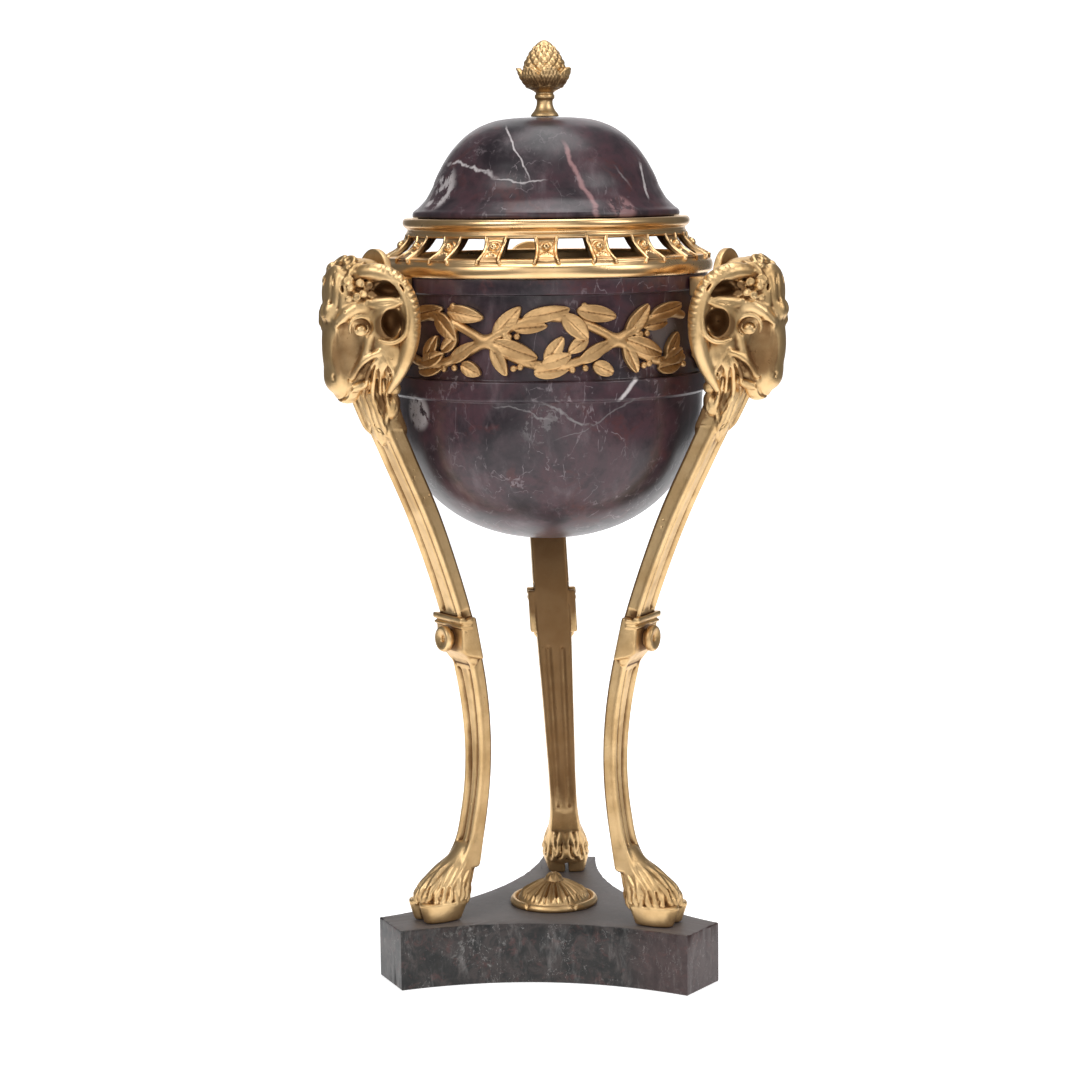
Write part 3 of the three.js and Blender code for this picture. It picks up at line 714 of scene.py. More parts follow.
def add_beard(clay):
    clay.add(beard_form(), 1)
    # Locks fan out from the jaw's peak, with dark pits between them
    for knots in (
        [[97.6, 17.4, 283.6, 0.6], [99.6, 14.6, 279.6, 0.9], [100.2, 11.9, 275.4, 1.0],
         [99.4, 10.2, 271.8, 0.6]],
        [[97.4, 17.6, 283.8, 0.7], [98.0, 15.2, 279.2, 1.0], [97.0, 12.4, 274.8, 1.2],
         [96.0, 9.9, 269.6, 1.1], [95.0, 9, 264.6, 0.7]],
        [[96.8, 18.0, 283.4, 0.6], [96.2, 16.8, 279, 0.9], [94.8, 14, 274.6, 1.1],
         [93.2, 11.6, 269.8, 1.0], [92.2, 10.4, 265.6, 0.6]],
        [[96.2, 18.6, 283.6, 0.6], [94.6, 18.6, 279.6, 0.9], [92.8, 16.8, 275, 1.1],
         [91.2, 14.4, 270.4, 0.9], [90.2, 12.4, 266.8, 0.5]],
        [[96.8, 19.0, 285.6, 0.7], [94.8, 20.6, 281.8, 0.9], [92.4, 20.4, 277.4, 1.0],
         [90.2, 18.4, 273, 0.9], [88.8, 15.6, 269.6, 0.6]],
        [[91.0, 16.2, 275.4, 0.9], [89.4, 15.2, 272, 1.1], [87.8, 13.4, 269, 0.7]],
    ):
        clay.ridge(knots, 0.55, 14)
    for knots in (
        [[98.6, 16.0, 280.6, 0.3], [98.8, 13.6, 276.8, 0.7], [98.0, 11.6, 273.2, 0.5]],
        [[96.9, 17.6, 281.2, 0.3], [96.4, 15.4, 276.8, 0.7], [95.0, 12.8, 272.4, 0.7],
         [94.0, 11, 268.4, 0.4]],
        [[95.2, 18.8, 281.2, 0.4], [93.9, 18.2, 277.6, 1.0], [92.5, 15.8, 273, 0.9],
         [91.6, 13.6, 269.4, 0.4]],
        [[94.4, 20.6, 280.4, 0.4], [92.9, 19.8, 277, 1.0], [91.6, 18.2, 273.8, 0.7]],
        [[90.4, 15.6, 273.4, 0.4], [88.4, 14.4, 270.4, 1.1], [86.4, 13.4, 268.4, 0.7]],
    ):
        clay.groove(knots, 0.35, 10)
    # Smooth wavy locks cover the front of the shank and meet in a point
    for radius, places in (
        (1.9, ((0, 269, 1), (0.6, 263, 1.1), (0, 257, 1), (0.3, 251, 0.9), (0, 245.5, 0.4))),
        (1.8, ((3.4, 269, 1), (4.4, 263, 1.1), (3.2, 257, 1), (2.8, 252, 0.8), (0.8, 246.6, 0.4))),
        (1.7, ((6.6, 269, 1), (7.2, 263.4, 1.1), (6.4, 258, 1), (6.8, 254, 0.9), (4.4, 249.8, 0.6),
               (2, 247, 0.3))),
    ):
        # Each place is across, height and share of the radius
        knots = [[beard_face(z) - 0.5 - 0.02 * y**2, y, z, radius * share] for y, z, share in places]
        clay.ridge(knots, 0.4, 16)
    for knots in (
        [[96, 8.2, 268, 1.2], [93.4, 8.8, 263, 1.3], [91, 8.6, 258, 1.3], [88.6, 8.2, 253, 1.1],
         [86.6, 6.4, 249.6, 0.5]],
        [[92.6, 12.2, 275, 1.2], [90.6, 11.2, 270, 1.4], [89.2, 10.4, 265.6, 1.4], [87.6, 9.6, 261.4, 1.3],
         [88, 8.8, 257.6, 1.0], [87.6, 8.4, 254, 0.5]],
    ):
        clay.ridge(knots, 0.45, 16)
    # A swollen lobe stands towards the bowl, with curled locks over it
    clay.add(egg((84.9, 8.8, 262.4), (3.4, 2.8, 5.4), ((1, 0, 0.25), (0, 1, 0), (-0.25, 0, 1))), 0.6)
    clay.groove([
        [86.8, 11.4, 265.6, 0.3], [84.6, 11.8, 263.8, 0.5], [85, 11.6, 260.4, 0.5], [87, 11, 259, 0.3],
    ], 0.4, 12)
    clay.add(egg((86.4, 11.6, 274.6), (3.4, 3.6, 4.2)), 0.8)
    clay.add(egg((84.8, 10, 269.6), (3.0, 3.0, 3.0)), 0.6)
    # Pockets drilled between the locks
    for knots in (
        [[93.4, 10.6, 267.6, 0.5], [91.7, 10.6, 264.6, 1.3], [90, 10.3, 261.6, 1.0], [88.6, 9.9, 259.4, 0.4]],
        [[87.4, 15.6, 273.4, 0.4], [86.9, 14.6, 271.4, 0.9], [87.3, 12.6, 269, 0.5]],
        [[93, 9.8, 262.8, 0.4], [91.8, 9.8, 260.6, 0.8], [90.8, 9.4, 258.8, 0.4]],
        [[89.6, 0.9, 254.6, 0.35], [88.8, 3.2, 252.6, 0.75], [87.6, 5.4, 250.8, 0.4]],
        [[86.5, 2.6, 247.6, 0.5], [85.8, 1.6, 246.4, 0.4]],
        [[90, 9.6, 257, 0.3], [89, 9.5, 254.8, 0.5]],
        [[97.6, 5.6, 270, 0.5], [96.6, 3.4, 268.4, 0.9], [95.4, 2.0, 266, 0.4]],
        [[87.6, 16, 277, 0.5], [87, 15.6, 275.4, 0.7]],
    ):
        clay.groove(along_path(knots, 8) if len(knots) > 2 else knots, 0.35)


def add_back(clay):
    """The plate behind the head, with a rounded top and a raised edge, and the lug that meets the bowl."""
    half = 12.5
    spring = 316.4

    def distance(x, y, z):
        arch = np.sqrt(y**2 + np.maximum(z - spring, 0) ** 2) - half
        return soft_max(soft_max(arch, np.abs(x - 87.7) - 1.5, 0.6), 290 - z, 1)

    clay.add((distance, (86, -half, 290), (89.4, half, spring + half)), 0.5)
    rim = [[88.7, 11.9, 304, 0.5], [88.7, 11.9, spring, 0.6]]
    for part in np.linspace(0.12, 1, 8):
        turn = part * math.pi / 2
        rim.append([88.7, 11.9 * math.cos(turn), spring + 11.9 * math.sin(turn), 0.6])
    clay.ridge(rim, 0.4)
    clay.add(block((81.2, 0, 312.5), (8.6, 6, 4.1)), 0.3)


def leg_form():
    clay = Clay((28, 0, 26), (119, 33, 332), LEG_STEP, mirrored=True)
    clay.add(shank_form(), 0.4)
    add_knee(clay)
    add_hoof(clay)
    add_back(clay)
    add_face(clay)
    add_hair(clay)
    add_ear_and_horn(clay)
    add_beard(clay)
    return clay.mesh()


# Painted shade in the leg's hollows, mixed with brown patina where the old gilding has gone brown: centre,
# reach and strength, in the leg's frame
LEG_SHADE_AND_PATINA = [
    ((108.6, 9.4, 285.4), (7.4, 6.8, 12.8), 0.62), ((112.4, 6.4, 285), (3.2, 3.4, 11.4), 0.62),
    ((95, 20, 297.6), (5.6, 9, 7), 1.0), ((97.6, 20, 312.4), (7.4, 9, 4.2), 0.9),
    ((101.4, 12, 277.8), (2.8, 4.2, 5), 0.9), ((91.2, 10.4, 264), (2.2, 2.4, 4.6), 0.7),
    ((105, 13.6, 299), (3.6, 3, 1.6), 0.7), ((93.6, 19.2, 278.4), (1.8, 2.4, 3.4), 0.9),
    ((88.6, 14, 270.4), (3, 2.6, 2), 0.7), ((97, 3, 267.6), (2.6, 5, 2), 0.5),
    # Painted shadow only: the cleft between the toes, the bevel above the knee and the ring round the knee's
    # button
    ((62, 0, 31), (9, 2.2, 6), 1.0), ((46, 11.4, 168.4), (4.6, 3.4, 2.2), 0.8),
    ((50.6, 0, BUTTON_HEIGHT), (2.6, 7.4, 7.4), 1.0),
]
# Painted shade under the cup's leaves and round the stem's neck
FINIAL_PAINTED_SHADE = [((0, 0, 402.4), (12.6, 12.6, 5.4), 0.75), ((0, 0, 394.4), (5.6, 5.6, 1.6), 0.4)]
# Brown patina over the rosette's dome
ROSETTE_STAINS = [((0, 0, 33), (17.4, 17.4, 12), 0.42)]


# Meshes

def stored(mesh, name, values):
    layer = mesh.attributes.new(name, "FLOAT", "POINT")
    layer.data.foreach_set("value", values.astype(np.float32))


def values_of(items, name, width, kind=np.float32):
    """One property of a mesh's items, as rows of numbers."""
    values = np.empty(len(items) * width, kind)
    items.foreach_get(name, values)
    return values.reshape(-1, width)


def points_of(mesh):
    """The mesh's points in millimetres."""
    return values_of(mesh.vertices, "co", 3) / MILLIMETRE


def shade_and_patina_of(points, stains):
    """How much painted shade and brown patina each point has, alike on both sides."""
    total = np.zeros(len(points))
    for centre, reach, strength in stains:
        near = np.sqrt((((np.abs(points) - centre) / reach) ** 2).sum(axis=1))
        total = np.maximum(total, strength * (1 - ease(near, 0.7, 1.12)))
    return total


def leg_shade_and_patina(points):
    """The leg's painted shade and patina spots, painted shade in the grooves of its strap, and painted shade
    on the side that faces the bowl.
    """
    out, across, height = points.T
    middle, width, thick = columns_at(height, SHANK)
    on_strap = ease(height, 50, 56) * (1 - ease(height, 246, 252))
    # Painted shade along the grooves of the strap
    groove = 1 - ease(np.abs(np.abs(across) - width / 2 + 3.7), 0.7, 2.0)
    above_face = out - middle - thick / 2
    groove = groove * ease(above_face, -2.6, -1.4) * (1 - ease(above_face, -0.7, -0.1))
    # Painted shade on the side that faces the bowl
    inner = 1 - ease(out - middle + thick / 2, 0.6, 1.6)
    inner = inner * ease(height, 36, 90) * (1 - ease(height, 262, 272))
    return np.maximum(shade_and_patina_of(points, LEG_SHADE_AND_PATINA), np.maximum(groove * 0.75 * on_strap, inner * 0.95))


def build_mesh(name, points, faces):
    """A mesh from points in millimetres."""
    mesh = bpy.data.meshes.new(name)
    faces = faces.tolist() if isinstance(faces, np.ndarray) else faces
    mesh.from_pydata((np.asarray(points, float) * MILLIMETRE).tolist(), [], faces)
    return mesh


def stitched(rows, count):
    """Faces between closed rows of count points, with the first and the last row capped."""
    faces = []
    for low in range(0, (rows - 1) * count, count):
        high = low + count
        for i in range(count):
            after = (i + 1) % count
            faces.append([low + i, low + after, high + after, high + i])
    faces.append(list(range((rows - 1) * count, rows * count)))
    faces.append(list(range(count))[::-1])
    return faces


def facing_out(points, quads):
    """The quads turned so that the volume they enclose is positive."""
    points = np.asarray(points, float)
    quads = np.asarray(quads)
    a, b, c, d = (points[quads[:, i]] for i in range(4))
    volume = np.einsum("ij,ij->i", a, np.cross(b, c)).sum() + np.einsum("ij,ij->i", a, np.cross(c, d)).sum()
    return quads if volume > 0 else quads[:, ::-1]


def thinned(mesh, triangles):
    """The mesh with about that many triangles."""
    count = sum(len(face.vertices) - 2 for face in mesh.polygons)
    if count <= triangles:
        return mesh
    carrier = bpy.data.objects.new("carrier", mesh)
    bpy.context.scene.collection.objects.link(carrier)
    thinner = carrier.modifiers.new("thinner", "DECIMATE")
    thinner.ratio = triangles / count
    done = bpy.data.meshes.new_from_object(carrier.evaluated_get(bpy.context.evaluated_depsgraph_get()))
    bpy.data.objects.remove(carrier)
    return done


def mark_hollows(mesh, rounds):
    """Stores how far each point lies under its surroundings, smoothed over those rounds, as hollow."""
    count = len(mesh.vertices)
    points = values_of(mesh.vertices, "co", 3).astype(float)
    normals = values_of(mesh.vertices, "normal", 3)
    first, second = values_of(mesh.edges, "vertices", 2, np.int32).T
    joins = np.maximum(np.bincount(first, minlength=count) + np.bincount(second, minlength=count), 1)
    smooth = points.copy()
    total = np.zeros(count)
    for step in range(1, max(rounds) + 1):
        spread = np.empty_like(smooth)
        for axis in range(3):
            ahead = np.bincount(first, smooth[second, axis], count)
            behind = np.bincount(second, smooth[first, axis], count)
            spread[:, axis] = (ahead + behind) / joins
        smooth = smooth * 0.4 + spread * 0.6
        if step in rounds:
            total += np.einsum("ij,ij->i", smooth - points, normals) / MILLIMETRE / step**0.5
    stored(mesh, "hollow", total)


def sculpted(name, points, quads, triangles, rounds):
    """A thinned mesh of the clay's points and quads, facing outward, with its hollows marked."""
    mesh = thinned(build_mesh(name, points, facing_out(points, quads)), triangles)
    mark_hollows(mesh, rounds)
    return mesh


def place_piece(name, mesh, material, node):
    piece = bpy.data.objects.new(name, mesh)
    bpy.context.scene.collection.objects.link(piece)
    mesh.materials.clear()
    mesh.materials.append(material)
    mesh.shade_smooth()
    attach(piece, "root")
    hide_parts(node)
    return piece


def turned_form(profile, segments):
    """Points and faces of a lathe form, from a closed profile of [radius, height]."""
    profile = np.asarray(profile, float)
    turns = np.arange(segments) * TURN / segments
    rows = []
    points = []
    for radius, height in profile:
        if radius < 1e-6:
            rows.append([len(points)] * segments)
            points.append([0, 0, height])
            continue
        rows.append(list(range(len(points), len(points) + segments)))
        points.extend([radius * math.cos(turn), radius * math.sin(turn), height] for turn in turns)
    faces = []
    pairs = list(zip(rows, rows[1:]))
    if profile[0][0] > 1e-6:
        pairs.append((rows[-1], rows[0]))
    for low, high in pairs:
        for i in range(segments):
            after = (i + 1) % segments
            face = [low[i], low[after], high[after], high[i]]
            face = [corner for k, corner in enumerate(face) if corner != face[k - 1]]
            if len(face) > 2:
                faces.append(face)
    return points, faces


def eased_profile(corners, radius, steps=3):
    """The open profile with its inner corners rounded. [r, z, radius] corners set their own rounding."""
    longest_share = 0.45
    shortest_cut = 0.02
    out = [np.array(corners[0][:2], float)]
    for before, corner, after in zip(corners, corners[1:], corners[2:]):
        own = corner[2] if len(corner) > 2 else radius
        here = np.array(corner[:2], float)
        back = np.array(before[:2], float) - here
        ahead = np.array(after[:2], float) - here
        cut = min(own, np.linalg.norm(back) * longest_share, np.linalg.norm(ahead) * longest_share)
        if cut < shortest_cut:
            out.append(here)
            continue
        start = here + unit(back) * cut
        end = here + unit(ahead) * cut
        for step in range(steps + 1):
            part = step / steps
            out.append(start * (1 - part) ** 2 + here * 2 * part * (1 - part) + end * part**2)
    out.append(np.array(corners[-1][:2], float))
    return out


# Materials

def new_material(name):
    material = bpy.data.materials.new(name)
    material.use_nodes = True
    tree = material.node_tree
    shader = tree.nodes["Principled BSDF"]
    return material, tree, shader


def add_node(tree, kind, **settings):
    node = tree.nodes.new(kind)
    for key, value in settings.items():
        if key in node.inputs:
            node.inputs[key].default_value = value
        else:
            setattr(node, key, value)
    return node


def ramp(tree, source, stops):
    """A colour ramp fed by a socket. stops are (place, colour) pairs."""
    node = tree.nodes.new("ShaderNodeValToRGB")
    band = node.color_ramp
    while len(band.elements) < len(stops):
        band.elements.new(0.5)
    for element, (place, colour) in zip(band.elements, stops):
        element.position = place
        element.color = (*colour, 1)
    tree.links.new(source, node.inputs["Fac"])
    return node.outputs["Color"]


def mix(tree, factor, first, second):
    """Two colours mixed, where each input is a socket or a plain value."""
    node = tree.nodes.new("ShaderNodeMix")
    node.data_type = "RGBA"
    for index, value in ((0, factor), (6, first), (7, second)):
        if isinstance(value, bpy.types.NodeSocket):
            tree.links.new(value, node.inputs[index])
        elif index == 0:
            node.inputs[index].default_value = value
        else:
            node.inputs[index].default_value = (*value, 1)
    return node.outputs[2]


def maths(tree, operation, first, second=0.0):
    node = tree.nodes.new("ShaderNodeMath")
    node.operation = operation
    for index, value in enumerate((first, second)):
        if isinstance(value, bpy.types.NodeSocket):
            tree.links.new(value, node.inputs[index])
        else:
            node.inputs[index].default_value = value
    return node.outputs[0]


def times(tree, first, second):
    return maths(tree, "MULTIPLY", first, second)


def stepped(tree, source, low, high):
    """0 below low and 1 above high, with a smooth rise. low may be above high."""
    node = tree.nodes.new("ShaderNodeMapRange")
    node.interpolation_type = "SMOOTHSTEP"
    tree.links.new(source, node.inputs["Value"])
    node.inputs["From Min"].default_value = min(low, high)
    node.inputs["From Max"].default_value = max(low, high)
    node.inputs["To Min"].default_value = 0 if low < high else 1
    node.inputs["To Max"].default_value = 1 if low < high else 0
    return node.outputs["Result"]


def noise(tree, place, scale, detail=4, roughness=0.55, distortion=0.0):
    settings = {"Scale": scale, "Detail": detail, "Roughness": roughness, "Distortion": distortion}
    node = add_node(tree, "ShaderNodeTexNoise", **settings)
    tree.links.new(place, node.inputs["Vector"])
    return node.outputs["Fac"]


def bumped(tree, shader, height, strength, distance):
    node = add_node(tree, "ShaderNodeBump", Strength=strength, Distance=distance)
    tree.links.new(height, node.inputs["Height"])
    tree.links.new(node.outputs["Normal"], shader.inputs["Normal"])


def gilt_material(name, bright, dull, dark, rough, pitting):
    """Cast and chased gilding: darker in the hollows with painted shade and brown patina, so brighter on what
    stands out, finely pitted.
    """
    material, tree, shader = new_material(name)
    place = tree.nodes.new("ShaderNodeTexCoord").outputs["Object"]
    hollow = add_node(tree, "ShaderNodeAttribute", attribute_name="hollow").outputs["Fac"]
    blotch = noise(tree, place, 55, 5, 0.6)
    grain = noise(tree, place, 900, 3, 0.6)
    # Painted shade and brown patina in the hollows, varied by a random blotch
    painted_light_and_wear = maths(tree, "ADD", hollow, times(tree, maths(tree, "SUBTRACT", blotch, 0.5), 0.16))
    tone = mix(tree, stepped(tree, blotch, 0.38, 0.66), bright, dull)
    # Painted shade in recesses and under ledges, with brown patina, read from the points' stored values
    shade_and_patina = add_node(tree, "ShaderNodeAttribute", attribute_name="shade_and_patina").outputs["Fac"]
    patchy = maths(tree, "ADD", shade_and_patina, times(tree, maths(tree, "SUBTRACT", blotch, 0.5), 0.5))
    painted_shade_and_browning = times(tree, stepped(tree, patchy, 0.15, 0.75), 0.85)
    recess = maths(tree, "MAXIMUM", stepped(tree, painted_light_and_wear, 0.0, 0.2), painted_shade_and_browning)
    colour = mix(tree, recess, tone, dark)
    # The deepest hollows go near black: painted shade
    deep = stepped(tree, painted_light_and_wear, 0.16, 0.42)
    colour = mix(tree, deep, colour, [value * 0.35 for value in dark])
    tree.links.new(colour, shader.inputs["Base Color"])
    shader.inputs["Metallic"].default_value = 1
    gloss = maths(tree, "MULTIPLY_ADD", blotch, 0.18)
    gloss.node.inputs[2].default_value = rough - 0.09
    gloss = maths(tree, "ADD", gloss, times(tree, recess, 0.14))
    tree.links.new(gloss, shader.inputs["Roughness"])
    pits = add_node(tree, "ShaderNodeTexVoronoi", Scale=420)
    tree.links.new(place, pits.inputs["Vector"])
    pit = stepped(tree, pits.outputs["Distance"], 0.26, 0.12)
    chosen = stepped(tree, noise(tree, place, 160, 2), 0.6, 0.68)
    relief = maths(tree, "SUBTRACT", times(tree, grain, 0.35), times(tree, pit, chosen))
    bumped(tree, shader, relief, pitting, 0.0003)
    return material


def near_spot(tree, place, spot, reach):
    """1 at a spot in the stone, fading to 0 at the reach."""
    gap = add_node(tree, "ShaderNodeVectorMath", operation="DISTANCE")
    tree.links.new(place, gap.inputs[0])
    gap.inputs[1].default_value = [value * MILLIMETRE for value in spot]
    return stepped(tree, gap.outputs["Value"], reach * MILLIMETRE, reach * MILLIMETRE * 0.6)


def vein(tree, place, normal, offset, width, wander):
    """1 along a wandering sheet through the stone, where normal . place = offset in millimetres."""
    wave = noise(tree, place, 42, 4, 0.62)
    level = add_node(tree, "ShaderNodeVectorMath", operation="DOT_PRODUCT")
    tree.links.new(place, level.inputs[0])
    level.inputs[1].default_value = unit(normal)
    shift = times(tree, maths(tree, "SUBTRACT", wave, 0.5), wander * MILLIMETRE)
    moved = maths(tree, "ADD", level.outputs["Value"], shift)
    gap = maths(tree, "ABSOLUTE", maths(tree, "SUBTRACT", moved, offset * MILLIMETRE))
    return stepped(tree, gap, width * MILLIMETRE, width * MILLIMETRE * 0.2)


def thread(tree, place, scale, width, distortion):
    """1 along thin wandering lines, where a noise crosses its middle value."""
    value = noise(tree, place, scale, 5, 0.5, distortion)
    return stepped(tree, maths(tree, "ABSOLUTE", maths(tree, "SUBTRACT", value, 0.5)), width, width * 0.15)


def sheared(tree, place, turn, stretch):
    """The place turned and then drawn out along one axis, so that a noise in it runs in streaks."""
    node = tree.nodes.new("ShaderNodeMapping")
    tree.links.new(place, node.inputs["Vector"])
    node.inputs["Rotation"].default_value = turn
    node.inputs["Scale"].default_value = stretch
    return node.outputs["Vector"]


def marble_material(name, ground, patch, black, pale, rust, scale, rough, net, clouds, patches, veins=()):
    """Veined marble. veins and patches lie at fixed spots in the stone."""
    material, tree, shader = new_material(name)
    place = tree.nodes.new("ShaderNodeTexCoord").outputs["Object"]
    broad = noise(tree, place, scale, 6, 0.62, 0.6)
    fine = noise(tree, place, scale * 4.5, 6, 0.65, 0.3)
    colour = ramp(tree, broad, [(0.36, black), (0.47, ground), (0.55, patch), (0.66, ground)])
    colour = mix(tree, times(tree, stepped(tree, fine, 0.5, 0.66), 0.5), colour, black)
    spread = stepped(tree, noise(tree, place, scale * 1.4, 5, 0.6, 0.8), 0.54, 0.66)
    rusty = times(tree, spread, stepped(tree, fine, 0.4, 0.55))
    colour = mix(tree, times(tree, rusty, 0.7), colour, rust)
    # Faint pale haze in slanting streaks
    slanting = sheared(tree, place, (0.3, 0.9, 0.4), (1, 1, 0.3))
    streak = stepped(tree, noise(tree, slanting, scale * 2.2, 7, 0.68, 0.3), 0.5, 0.8)
    colour = mix(tree, times(tree, streak, 0.3), colour, pale)
    # Broken hairlines gather in some areas and leave others plain
    gather = stepped(tree, noise(tree, place, scale * 0.8, 3, 0.5), 0.42, 0.62)
    upright = thread(tree, place, scale * 1.2, 0.007, 0.25)
    lines = maths(tree, "MAXIMUM", upright, thread(tree, slanting, scale * 1.7, 0.008, 0.2))
    broken = stepped(tree, noise(tree, place, scale * 7, 3, 0.6), 0.42, 0.58)
    lines = times(tree, times(tree, lines, gather), times(tree, broken, net))
    colour = mix(tree, lines, colour, pale)
    cloud = stepped(tree, noise(tree, place, scale * 1.6, 8, 0.75, 0.3), 0.62, 0.74)
    colour = mix(tree, times(tree, cloud, clouds), colour, pale)
    crumbs = noise(tree, place, 110, 7, 0.75, 0.3)
    for normal, offset, width, wander, middle, reach, strength, tint in veins:
        sheet = vein(tree, place, normal, offset, width, wander)
        share = times(tree, near_spot(tree, place, middle, reach), stepped(tree, crumbs, 0.34, 0.52))
        colour = mix(tree, times(tree, times(tree, sheet, share), strength), colour, tint)
    for middle, reach, threshold, strength, tint in patches:
        share = times(tree, near_spot(tree, place, middle, reach), strength)
        blot = stepped(tree, crumbs, threshold, threshold + 0.07)
        colour = mix(tree, times(tree, share, blot), colour, tint)
    # Lighter on top: a painted sheen, with dust from handling
    painted_light_and_wear = add_node(tree, "ShaderNodeAttribute", attribute_name="painted_light_and_wear").outputs["Fac"]
    colour = mix(tree, times(tree, painted_light_and_wear, 0.7), colour, (0.165, 0.143, 0.135))
    tree.links.new(colour, shader.inputs["Base Color"])
    gloss = maths(tree, "MULTIPLY_ADD", fine, 0.1)
    gloss.node.inputs[2].default_value = rough - 0.05
    gloss = maths(tree, "ADD", gloss, times(tree, painted_light_and_wear, 0.2))
    tree.links.new(gloss, shader.inputs["Roughness"])
    shader.inputs["Specular IOR Level"].default_value = 0.42
    bumped(tree, shader, noise(tree, place, 700, 3, 0.6), 0.12, 0.0002)
    return material


# Turned marble

MARBLE_SEGMENTS = 168


def bowl_curve(shoulder_radius, bottom, steps):
    power = 2 / BOWL_FULLNESS
    out = []
    for step in range(steps + 1):
        turn = step / steps * math.pi / 2
        out.append([
            shoulder_radius * math.sin(turn) ** power,
            BOWL_SHOULDER - (BOWL_SHOULDER - bottom) * math.cos(turn) ** power,
        ])
    return out


def bowl_mesh():
    inner = BAND_RADIUS - BOWL_WALL
    rim = [
        [BOWL_SHOULDER_RADIUS, BOWL_SHOULDER - 2], [BOWL_SHOULDER_RADIUS + 0.2, BOWL_SHOULDER + 0.8],
        [BOWL_SHOULDER_RADIUS + 1.2, LOWER_FASCIA_BOTTOM - 0.9],
        [FASCIA_RADIUS - 0.2, LOWER_FASCIA_BOTTOM - 0.5], [FASCIA_RADIUS, LOWER_FASCIA_BOTTOM + 0.4],
        [FASCIA_RADIUS, LOWER_FASCIA_TOP], [BAND_RADIUS, LOWER_FASCIA_TOP + 0.3],
        [BAND_RADIUS, UPPER_FASCIA_BOTTOM - 0.3], [FASCIA_RADIUS, UPPER_FASCIA_BOTTOM],
        [FASCIA_RADIUS, BOWL_TOP], [inner, BOWL_TOP], [inner, BOWL_SHOULDER + 6],
    ]
    outside = bowl_curve(BOWL_SHOULDER_RADIUS, BOWL_BOTTOM, 36)
    inside = bowl_curve(inner, BOWL_BOTTOM + BOWL_WALL, 24)[::-1]
    profile = [*outside[:-1], *eased_profile(rim, 0.5)[1:], *inside]
    return build_mesh("bowl_marble", *turned_form(profile, MARBLE_SEGMENTS))


def lid_mesh():
    outside = [
        [59.4, LID_BOTTOM + 0.2], [LID_RIM_RADIUS, LID_BOTTOM + 1.0], [59.2, 345.2], [57.4, 346.6],
        [55.6, 348.3], [53.5, 350.6], [51.8, 353.4], [50.4, 356], [49.4, 358.7], [48.2, 361.4], [46.8, 364],
        [45.3, 366.7], [43.6, 369.3], [41.7, 371.9], [39.4, 374.5], [36.7, 377.2], [33.4, 379.8],
        [28.8, 382.5], [22, 384.9], [14, 386], [6, LID_TOP], [0, LID_TOP],
    ]
    smooth = along_path(outside, 84)
    smooth[-1] = outside[-1]
    inside = [
        [0, LID_TOP - LID_WALL], [14, 378], [24, 375], [33, 369], [39.5, 360.5], [44, 350.5], [50, 340.1],
    ]
    lip = [[50, 340.1], [57, 340.1], [57.2, 342.4], [57.2, LID_BOTTOM + 0.2], [59.4, LID_BOTTOM + 0.2]]
    profile = [*smooth, *along_path(inside, 24), *lip[1:-1]]
    return build_mesh("lid_marble", *turned_form(profile, MARBLE_SEGMENTS))


def plinth_mesh():
    """A slab with hollow sides, whose arrises are softened and chipped a little."""
    outline = []
    reach = math.hypot(CANT_HALF_WIDTH, CORNER_REACH)
    half_angle = math.atan2(CANT_HALF_WIDTH, CORNER_REACH)
    for corner in range(3):
        azimuth = math.radians(90 + PLINTH_TURN + corner * 120)
        ends = [azimuth - half_angle, azimuth + half_angle, azimuth + TURN / 3 - half_angle]
        before, start, end = (np.array([math.cos(a), math.sin(a)]) * reach for a in ends)
        inward = -unit(start + end)
        for part in np.linspace(0, 1, 24)[:-1]:
            outline.append(before + (start - before) * part)
        for part in np.linspace(0, 1, 96)[:-1]:
            outline.append(start + (end - start) * part + inward * SIDE_HOLLOW * 4 * part * (1 - part))
    outline = np.array(outline)
    count = len(outline)
    ahead = np.roll(outline, -1, axis=0) - np.roll(outline, 1, axis=0)
    inward = np.stack([-ahead[:, 1], ahead[:, 0]], axis=1)
    inward = inward / np.linalg.norm(inward, axis=1)[:, None]
    draws = np.random.default_rng(7)
    levels = [(0, 0.5), (0.5, 0.0), (9, 0), (18, 0), (PLINTH_HEIGHT - 0.7, 0), (PLINTH_HEIGHT - 0.22, 0.2),
              (PLINTH_HEIGHT, 0.75)]
    chips = np.zeros((len(levels), count))
    for level in (1, 4, 5, 6):
        rough = draws.random(count)
        chips[level] = np.where(rough > 0.93, draws.random(count) * 0.9, 0)
        chips[level] = (chips[level] + 0.5 * np.roll(chips[level], 1)) * 0.7
    points = []
    for level, (height, inset) in enumerate(levels):
        spot = outline + inward * (inset + chips[level])[:, None]
        sink = chips[level] * (0.4 if level > 3 else 0)
        points.append(np.column_stack([spot, np.full(count, height) - sink]))
    for share in (0.8, 0.5, 0.2):
        points.append(np.column_stack([outline * share, np.full(count, PLINTH_HEIGHT)]))
    mesh = build_mesh("plinth_marble", np.vstack(points), stitched(len(points), count))
    # The top rows carry the painted sheen and handling dust of the top
    stored(mesh, "painted_light_and_wear", np.arange(len(mesh.vertices)) >= (len(levels) - 1) * count)
    return mesh


# Gallery

